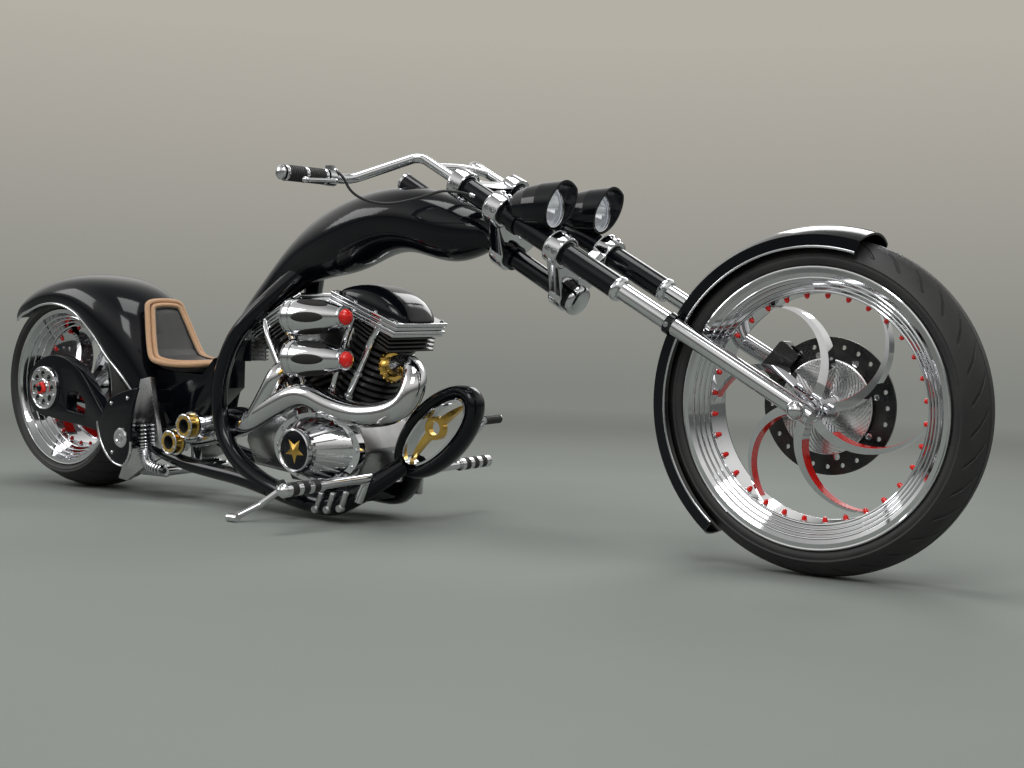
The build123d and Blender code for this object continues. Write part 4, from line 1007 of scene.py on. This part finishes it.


# Exhaust: collars, flange bolts, clamps, and bores lined with soot, closed by a near black floor that is
# painted shade for the pipes' depth
def make_exhaust_trim():
    collars = bmesh.new()
    bolts = bmesh.new()
    soot_and_shade = bmesh.new()
    for x, z in ((574, 191), (644, 243)):
        centre = (x, 0, z)
        turned(collars, ((-150, 21.5), (-150, 40), (-145, 41), (-142, 39), (-142, 32), (-118, 32),
                         (-114, 29), (-114, 21.5)), centre, ACROSS, 56)
        ring(collars, -175, 33, 2.4, centre, ACROSS)
        turned(soot_and_shade, ((-175.5, 20.9), (-150, 20.9), (-150, 0), (-153, 0), (-153, 18.2), (-175.5, 18.2)),
               centre, ACROSS, 40, True)
        for i in range(6):
            turn = math.radians(30 + i * 60)
            bolt(bolts, (x + 28 * math.cos(turn), -176, z + 28 * math.sin(turn)), (0, -1, 0), 2.6, 3)
    for place, along in (((715, -92, 216), (150, 0, 39)), ((722, -94, 264), (156, 4, 40))):
        turned(collars, ((-10, 20), (-10, 25), (-6, 27), (6, 27), (10, 25), (10, 20)), place, along, 40)
    piece("exhaust_collars", collars, "chrome")
    piece("tip_bolts", bolts, "chrome")
    # Soot lining, with a near black floor as painted shade for the depth of the pipe
    piece("tip_soot_and_shade", soot_and_shade, "soot_and_shade")


# Tubes of the frame at their full girth: hoops, belly and lower rails, with the plates between them
def make_frame_tubes():
    hoops, rails = [], []
    for sign in (-1, 1):
        y = sign * 130
        hoops.append([(985, sign * 30, 690), (880, sign * 118, 572), (800, y, 486), (738, y, 345),
                      (768, y, 190), (930, y, 84), (1140, y, 50), (1255, y, 55), (1372, sign * 30, 165)])
        rails.append([(452, y, 162), (560, y, 130), (700, y, 114), (860, y, 100), (960, y, 80)])
    tubes = bead("frame_hoops", hoops, 24, "black_paint", swell=(28, 26, 24, 24, 24, 27, 30, 30, 26))
    bead("lower_rails", rails, 22, "black_paint", swell=(17, 20, 23, 24, 26))
    form = bmesh.new()
    for x in (1030, 1228):
        slab(form, Matrix.Translation((x, 0, 76)), (30, 262, 46), 6)
    piece("belly_plates", form, "black_paint")
    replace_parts(tubes, "frame_rails")
    ribs = bmesh.new()
    for x, y, z in ((1180, -158, 66), (1222, -156, 68), (1264, -150, 74), (1304, -118, 104)):
        lean = Matrix.Translation((x, y, z)) @ Matrix.Rotation(math.radians(24), 4, "Y")
        slab(ribs, lean, (15, 14, 52), 5)
        turned(ribs, ((-9, 0), (-9, 9), (-6, 11), (6, 11), (9, 9), (9, 0)), (x - 12, y - 2, z - 24),
               ACROSS, 24)
    piece("belly_ribs", ribs, "alloy")


# Front loop as a full round tube: half length and half height of its middle line
LOOP_LONG = 152
LOOP_HIGH = 71


def make_loop_tube():
    form = bmesh.new()
    turn = Matrix.Translation((1470, 0, 257)) @ Matrix.Rotation(math.radians(-40), 4, "Y")
    verts = bmesh.ops.create_circle(form, cap_ends=False, segments=20, radius=20,
                                    matrix=Matrix.Translation((LOOP_LONG, 0, 0)))["verts"]
    edges = edges_at(verts)
    bmesh.ops.spin(form, geom=verts + edges, cent=(0, 0, 0), axis=ACROSS, angle=math.tau, steps=96,
                   use_merge=True)
    for vert in form.verts:
        reach = math.hypot(vert.co.x, vert.co.z)
        tall = (reach - LOOP_LONG) + LOOP_HIGH
        vert.co.z *= tall / reach
        vert.co.y *= 1.6
    bmesh.ops.transform(form, matrix=turn, verts=form.verts)
    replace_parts(piece("loop_tube", form, "black_paint"), "front_loop")


# Exhaust at its full girth, thick where it sweeps under the cylinders and lean at the tips
def make_pipes():
    sweep = [(1335, -52, 428), (1425, -68, 446), (1508, -132, 408), (1478, -150, 326), (1345, -150, 302),
             (1225, -150, 318), (1115, -150, 362), (1000, -150, 315), (890, -145, 262), (790, -92, 235),
             (640, -92, 196), (574, -98, 191), (574, -152, 191)]
    girth = (27, 30, 33, 34, 34, 34, 34, 34, 32, 24, 21, 21, 20.8)
    pipe = bead("exhaust_sweep", [sweep], 21, "pipe_chrome", swell=girth)
    bead("exhaust_drop", [[(1013, -70, 431), (1012, -138, 424), (980, -150, 350), (925, -148, 278)]], 21,
         "pipe_chrome", swell=(25, 27, 30, 32))
    rear = [(905, -147, 272), (800, -92, 283), (720, -94, 264), (644, -98, 243), (644, -152, 243)]
    bead("exhaust_rear", [rear], 21, "pipe_chrome", swell=(31, 25, 22, 21, 20.8))
    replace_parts(pipe, "exhaust_pipes")


# Black lid over the front head, low behind and full towards the front: along, half width and height
LID = ((-124, 58, 3), (-120, 74, 11), (-104, 86, 25), (-70, 92, 43), (-30, 94, 55), (12, 94, 57),
       (50, 91, 51), (84, 83, 38), (108, 69, 22), (121, 53, 10), (126, 36, 3))


def make_dome():
    form = bmesh.new()
    loops = []
    for along, half, high in LID:
        stand = head_frame(*HEAD_SLABS[0][1:4]) @ Matrix.Translation((along, 0, 0))
        verts = bmesh.ops.create_circle(form, cap_ends=False, segments=40, radius=1)["verts"]
        for vert in verts:
            left, rise = vert.co.x, vert.co.y
            tall = high * rise ** 0.8 if rise > 0 else 4 * rise
            vert.co = stand @ Vector((0, math.copysign(abs(left) ** 0.62, left) * half, tall))
        loops.append(edges_at(verts))
    skin_loops(form, loops, 48)
    dome = piece("air_box_dome", form, "black_paint")
    refine(dome, 1)
    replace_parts(dome, "rocker_pod")


# Toothed gilt collar where the front pipe leaves its head
def make_port_collar():
    form = bmesh.new()
    along = Vector((95, -18, 12)).normalized()
    place = Vector((1352, -55, 430))
    turned(form, ((-8, 24), (-8, 37), (-3, 40), (3, 40), (8, 37), (8, 28)), place, along, 48)
    aside = along.orthogonal().normalized()
    for i in range(18):
        out = Matrix.Rotation(i * math.tau / 18, 3, along) @ aside
        stud(form, place + out * 38, out, 3.4, 6)
    piece("port_collar", form, "gold")


make_frame_tubes()
make_loop_tube()
make_pipes()
make_dome()
make_port_collar()
make_rocker_trim()
make_pushrod_collars()
make_intake_trim()
make_cam_trim()
make_primary_trim()
make_exhaust_trim()


# Rear end

# Outline of the side shields, the first point along it that has the bright edge, and how far out they lie
SHIELD = ((342, 316), (408, 338), (479, 351), (448, 270), (440, 187), (428, 138), (402, 111), (352, 122),
          (315, 152), (290, 196), (281, 242))
SHIELD_START = 14
SHIELD_LEFT = 209


def make_shield_edges():
    outline = []
    for i in range(0, 10, 2):
        outline += through(*SHIELD[i:i + 3], 8)[:-1]
    outline.append(SHIELD[10])
    runs = [[(x, sign * SHIELD_LEFT, z) for x, z in outline[SHIELD_START:]] for sign in (-1, 1)]
    bead("shield_edges", runs, 4.0, "chrome")
    form = bmesh.new()
    for sign in (-1, 1):
        turned(form, ((0, 30), (4, 30), (8, 26), (8, 17), (5, 15), (5, 0)), (396, sign * SHIELD_LEFT, 197),
               (0, sign, 0), 40)
        bolt(form, (396, sign * 213, 197), (0, sign, 0), 8, 7)
        for x, z in ((352, 150), (430, 318), (352, 300)):
            stud(form, (x, sign * 209.5, z), (0, sign, 0), 6, 5)
    piece("pivot_bosses", form, "chrome")


# Rear fender as one smooth shell: angle from ahead, crown radius, edge radius and half width
FENDER_SECTIONS = ((20, 378, 318, 112), (30, 397, 313, 130), (40, 427, 312, 146), (50, 468, 314, 157),
                   (59, 494, 331, 163), (69, 504, 352, 166), (81, 504, 383, 166), (94, 504, 405, 166),
                   (106, 504, 418, 164), (118, 504, 428, 157), (127, 503, 458, 138), (134, 500, 484, 106))
# Across a section: share of the half width, and share of the way from edge to crown
FENDER_CURVE = ((0.955, 0.0), (1.0, 0.20), (0.985, 0.42), (0.91, 0.64), (0.76, 0.81), (0.54, 0.925),
                (0.28, 0.982), (0.0, 1.0))
# Where the radii are measured from
FENDER_X = 41
FENDER_Z = 202


def make_fender_shell():
    form = bmesh.new()
    curve = list(FENDER_CURVE) + [(-left, rise) for left, rise in reversed(FENDER_CURVE[:-1])]
    rows = []
    for turn, crown, edge, half in FENDER_SECTIONS:
        angle = math.radians(turn)
        row = []
        for left, rise in curve:
            reach = edge + (crown - edge) * rise
            row.append((FENDER_X + reach * math.cos(angle), left * half,
                        FENDER_Z + reach * math.sin(angle)))
        rows.append(row)
    for row_a, row_b in zip(rows, rows[1:]):
        strip(form, row_a, row_b)
    bmesh.ops.remove_doubles(form, verts=form.verts, dist=0.02)
    bmesh.ops.recalc_face_normals(form, faces=form.faces)
    top = max(form.faces, key=lambda face: face.calc_center_median().z)
    if top.normal.z < 0:
        bmesh.ops.reverse_faces(form, faces=form.faces)
    shell = piece("rear_fender_shell", form, "black_paint", solid=False)
    wall = shell.modifiers.new("wall", "SOLIDIFY")
    wall.thickness = 0.008
    wall.offset = -1
    refine(shell, 2)
    shell.data.shade_smooth()
    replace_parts(shell, "rear_fender")
    edges = [[row[0] for row in rows], [row[-1] for row in rows]]
    bead("rear_fender_edge", edges, 4.5, "chrome")


# Bellows of the shock, down past the pivot and forward under the seat
BELLOWS = ((432, -160, 232), (434, -160, 180), (438, -160, 130), (470, -160, 104), (530, -156, 100))


def make_bellows():
    line = bpy.data.curves.new("bellows_route", "CURVE")
    line.dimensions = "3D"
    spline = line.splines.new("NURBS")
    spline.points.add(len(BELLOWS) - 1)
    for point, place in zip(spline.points, BELLOWS):
        point.co = (*place, 1)
    spline.use_endpoint_u = True
    spline.order_u = 3
    spline.resolution_u = 6
    holder = bpy.data.objects.new("bellows_route", line)
    route = bpy.data.meshes.new_from_object(holder)
    places = [vert.co.copy() for vert in route.vertices]
    bpy.data.objects.remove(holder)
    form = bmesh.new()
    for here, after in zip(places, places[1:]):
        turned(form, ((-3.4, 8), (-2.4, 14), (0, 15.4), (2.4, 14), (3.4, 8)), here, after - here, 24)
    piece("shock_bellows", form, "chrome")
    bead("bellows_core", [BELLOWS], 9, "black_iron")


make_fender_shell()
make_bellows()
make_shield_edges()


# Pegs: ribbed rubbers between the rings, and one on the lever
PEGS = (1312, 0, 132)
LEVER_PEG = (1375, 0, 262)


def make_peg_rubbers():
    form = bmesh.new()
    caps = bmesh.new()
    for sign in (-1, 1):
        for start in (300.5, 338.5, 376.5):
            rows = [(start, 16)]
            for i in range(4):
                rib = start + i * 5.2
                rows += [(rib, 17.6), (rib + 3.4, 17.6), (rib + 3.8, 16.6)]
            rows.append((start + 21, 16))
            turned(form, [(sign * along, radius) for along, radius in rows], PEGS, ACROSS, 32)
        turned(caps, ((414, 16.4), (414, 18.6), (419, 18.6), (427, 13.5), (434.5, 0)), PEGS,
               (0, sign, 0), 32)
    rows = [(324, 11)]
    for i in range(9):
        rib = 324 + i * 8
        rows += [(rib, 12.8), (rib + 5.4, 12.8), (rib + 6, 11.6)]
    rows.append((397, 11))
    turned(form, rows, LEVER_PEG, ACROSS, 28)
    piece("peg_rubbers", form, "rubber")
    piece("peg_caps", caps, "chrome")


make_peg_rubbers()


# Seat: one stuffed shell from the top of the back round to the nose, blown out by cloth and capped.
# Its stations are x and z in side view, with the half width at each.
SEAT_LINE = ((336, 606), (344, 580), (358, 540), (373, 496), (390, 452), (404, 431), (424, 421), (456, 415),
             (500, 410), (546, 409), (584, 411))
SEAT_HALF = (62, 68, 78, 88, 97, 101, 103, 104, 99, 85, 58)


# A frame across the seat at one of its stations: Y left, Z out of the face
def seat_frame(i):
    low, high = max(i - 1, 0), min(i + 1, len(SEAT_LINE) - 1)
    (x0, z0), (x1, z1) = SEAT_LINE[low], SEAT_LINE[high]
    along = Vector((x1 - x0, 0, z1 - z0)).normalized()
    face = along.cross(Vector((0, 1, 0))).normalized()
    place = Vector((SEAT_LINE[i][0], 0, SEAT_LINE[i][1]))
    turn = Matrix((along, Vector((0, 1, 0)), face)).transposed().to_4x4()
    return Matrix.Translation(place) @ turn


def make_seat():
    form = bmesh.new()
    loops = []
    for i, half in enumerate(SEAT_HALF):
        upright = Matrix.Rotation(math.radians(90), 4, "Y")
        thick = 6 if i in (0, len(SEAT_HALF) - 1) else 11
        shape = seat_frame(i) @ Matrix.Diagonal((1, half, thick, 1)) @ upright
        verts = bmesh.ops.create_circle(form, cap_ends=False, segments=32, radius=1, matrix=shape)["verts"]
        loops.append(edges_at(verts))
    skin_loops(form, loops, 64)
    bmesh.ops.recalc_face_normals(form, faces=form.faces)
    bmesh.ops.transform(form, matrix=MM, verts=form.verts)
    mesh = bpy.data.meshes.new("seat_pad")
    form.to_mesh(mesh)
    form.free()
    pad = bpy.data.objects.new("seat_pad", mesh)
    bpy.context.scene.collection.objects.link(pad)
    remesh = pad.modifiers.new("even", "REMESH")
    remesh.mode = "VOXEL"
    remesh.voxel_size = 0.005
    puff_up(pad, 0.008)
    mesh = evaluated(pad)
    pad.modifiers.clear()
    pad.data = mesh
    mesh.shade_smooth()
    mesh.materials.append(FINISHES["leather"])
    refine(pad, 1)
    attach(pad, "frame")
    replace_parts(pad, "seat")


# Blow a remeshed pad out with cloth pressure, no point moving further than the cap
def puff_up(pad, cap):
    scene = bpy.context.scene
    even = evaluated(pad)
    pad.modifiers.clear()
    pad.data = even
    rest = [vert.co.copy() for vert in even.vertices]
    cloth = pad.modifiers.new("stuffing", "CLOTH")
    cloth.settings.use_pressure = True
    cloth.settings.uniform_pressure_force = 4.0
    cloth.settings.effector_weights.gravity = 0.0
    cloth.point_cache.frame_start = 1
    cloth.point_cache.frame_end = 20
    for step in range(1, 21):
        scene.frame_set(step)
    blown = evaluated(pad)
    pad.modifiers.clear()
    scene.frame_set(1)
    for vert, start in zip(blown.vertices, rest):
        move = vert.co - start
        if move.length > cap:
            vert.co = start + move.normalized() * cap
    pad.data = blown


# Piped border round the seat: two ridges, with a thin welt inside them
def make_seat_border():
    def edge_points(inset, rise):
        left_side, right_side = [], []
        for i, half in enumerate(SEAT_HALF):
            frame_here = seat_frame(i)
            left_side.append(frame_here @ Vector((0, half - inset, rise)))
            right_side.append(frame_here @ Vector((0, inset - half, rise)))
            if i in (0, len(SEAT_HALF) - 1):
                along = max(inset, 0) if i == 0 else -max(inset, 0)
                left_side[-1] = frame_here @ Vector((along, half - inset, rise))
                right_side[-1] = frame_here @ Vector((along, inset - half, rise))
        top = seat_frame(0) @ Vector((inset - 4, 0, rise))
        nose = seat_frame(len(SEAT_HALF) - 1) @ Vector((4 - inset, 0, rise))
        return [top] + left_side + [nose] + list(reversed(right_side))

    bead("seat_piping_outer", [edge_points(-2, 8)], 8.5, "tan_leather", closed=True)
    bead("seat_piping_inner", [edge_points(14, 14)], 7.5, "tan_leather", closed=True)
    bead("seat_welt", [edge_points(23, 15)], 2.6, "leather", closed=True)


make_seat()
make_seat_border()


# Camera of the photograph
EYE = (3708.9, -2705.4, 576.8)
YAW = -0.6355
PITCH = -0.0545
LENS_PX = 1316.3
PHOTO_PX = 1024
SENSOR_MM = 36.0


def make_camera():
    camera = bpy.data.cameras.new("camera")
    camera.sensor_fit = "HORIZONTAL"
    camera.sensor_width = SENSOR_MM
    camera.lens = LENS_PX / PHOTO_PX * SENSOR_MM
    camera.clip_end = 100
    forward = Vector((math.sin(YAW) * math.cos(PITCH), math.cos(YAW) * math.cos(PITCH), math.sin(PITCH)))
    right = Vector((math.cos(YAW), -math.sin(YAW), 0))
    up = right.cross(forward)
    turn = Matrix((right, up, -forward)).transposed().to_4x4()
    eye = bpy.data.objects.new("camera", camera)
    eye.matrix_world = Matrix.Translation(spot(*EYE)) @ Matrix.Rotation(LEAN, 4, "X") @ turn
    bpy.context.scene.collection.objects.link(eye)
    bpy.context.scene.camera = eye


# Shades of the surround where it is seen, and where bright metal mirrors it
HORIZON = (0.225, 0.232, 0.212)
ZENITH = (0.46, 0.43, 0.38)
MIRROR_DARK = (0.12, 0.125, 0.12)
MIRROR_BRIGHT = (0.88, 0.87, 0.84)
# Soft lamps: name, place, size and power
LAMPS = (("key", (2.4, -3.8, 4.4), 2.4, 115), ("fill", (-4.4, -3.2, 3.0), 2.2, 62),
         ("rim", (-0.5, 4.4, 3.8), 2.4, 80), ("top", (0.3, -0.2, 5.0), 2.4, 90))


# One where a ray shows the surround itself: seen directly, mirrored or through glass
def seen_or_mirrored(tree):
    path = tree.nodes.new("ShaderNodeLightPath")
    bent = calc(tree, "MAXIMUM", path.outputs["Is Glossy Ray"], path.outputs["Is Transmission Ray"])
    return calc(tree, "MAXIMUM", path.outputs["Is Camera Ray"], bent)


# Stage: a pale floor that fades into the surround, and soft lamps
def make_stage():
    ground = bmesh.new()
    bmesh.ops.create_grid(ground, x_segments=1, y_segments=1, size=30)
    mesh = bpy.data.meshes.new("floor")
    ground.to_mesh(mesh)
    ground.free()
    floor = bpy.data.objects.new("floor", mesh)
    material, tree, shader, place = new_finish("pale_floor")
    shade = noise(tree, place, 0.8, 3.0, 0.5)
    tree.links.new(tint(tree, shade, (0.25, 0.27, 0.25), (0.29, 0.31, 0.29)), shader.inputs["Base Color"])
    shader.inputs["Roughness"].default_value = 0.8
    shader.inputs["Specular IOR Level"].default_value = 0.15
    far = add_node(tree, "ShaderNodeVectorMath", operation="LENGTH")
    tree.links.new(place, far.inputs[0])
    haze = add_node(tree, "ShaderNodeEmission")
    haze.inputs["Color"].default_value = (*HORIZON, 1)
    fade = add_node(tree, "ShaderNodeMixShader")
    distance = span(tree, far.outputs["Value"], 2.2, 11.0, 0.0, 1.0)
    hazy = calc(tree, "MULTIPLY", calc(tree, "POWER", distance, 0.6), seen_or_mirrored(tree))
    tree.links.new(hazy, fade.inputs[0])
    tree.links.new(shader.outputs[0], fade.inputs[1])
    tree.links.new(haze.outputs[0], fade.inputs[2])
    tree.links.new(fade.outputs[0], tree.nodes["Material Output"].inputs["Surface"])
    mesh.materials.append(material)
    bpy.context.scene.collection.objects.link(floor)
    for name, place, size, power in LAMPS:
        light = bpy.data.lights.new(name, "AREA")
        light.size = size
        light.energy = power
        lamp = bpy.data.objects.new(name, light)
        lamp.location = place
        lamp.rotation_euler = (Vector((0, 0, 0.4)) - Vector(place)).to_track_quat("-Z", "Y").to_euler()
        bpy.context.scene.collection.objects.link(lamp)
    make_surround()


# A plain world that lights softly, with the backdrop's own shade where it is seen or mirrored
def make_surround():
    world = bpy.data.worlds.new("studio")
    world.use_nodes = True
    tree = world.node_tree
    light = tree.nodes["Background"]
    light.inputs["Color"].default_value = (0.62, 0.62, 0.60, 1)
    light.inputs["Strength"].default_value = 0.40
    height = add_node(tree, "ShaderNodeSeparateXYZ")
    tree.links.new(tree.nodes.new("ShaderNodeTexCoord").outputs["Generated"], height.inputs[0])
    rise = span(tree, height.outputs[2], -0.01, 0.24, 0.0, 1.0)
    seen = tint(tree, rise, HORIZON, ZENITH)
    band = calc(tree, "MULTIPLY", span(tree, height.outputs[2], 0.08, 0.40, 0.0, 1.0),
                span(tree, height.outputs[2], 0.55, 0.92, 1.0, 0.22))
    path = tree.nodes.new("ShaderNodeLightPath")
    mirrored = tint(tree, band, MIRROR_DARK, MIRROR_BRIGHT)
    backdrop = tree.nodes.new("ShaderNodeBackground")
    tree.links.new(tint(tree, path.outputs["Is Glossy Ray"], seen, mirrored), backdrop.inputs["Color"])
    choice = tree.nodes.new("ShaderNodeMixShader")
    tree.links.new(seen_or_mirrored(tree), choice.inputs[0])
    tree.links.new(light.outputs[0], choice.inputs[1])
    tree.links.new(backdrop.outputs[0], choice.inputs[2])
    tree.links.new(choice.outputs[0], tree.nodes["World Output"].inputs["Surface"])
    bpy.context.scene.world = world


# Castings and plates with their edges rounded over
for node, width, body in (("swingarm", 9, "frame"), ("crankcase", 7, "frame"), ("gearbox", 9, "frame"),
                          ("primary_cover", 8, "frame"), ("seat_pan", 8, "frame"),
                          ("pivot_plates", 2.5, "frame"), ("side_shields", 3, "frame"),
                          ("front_caliper", 4, "steering"), ("fork_clamps", 3, "steering"),
                          ("intake_body", 4, "frame")):
    softened(node, width, body)

make_camera()
make_stage()
bpy.context.scene.view_settings.view_transform = "Standard"
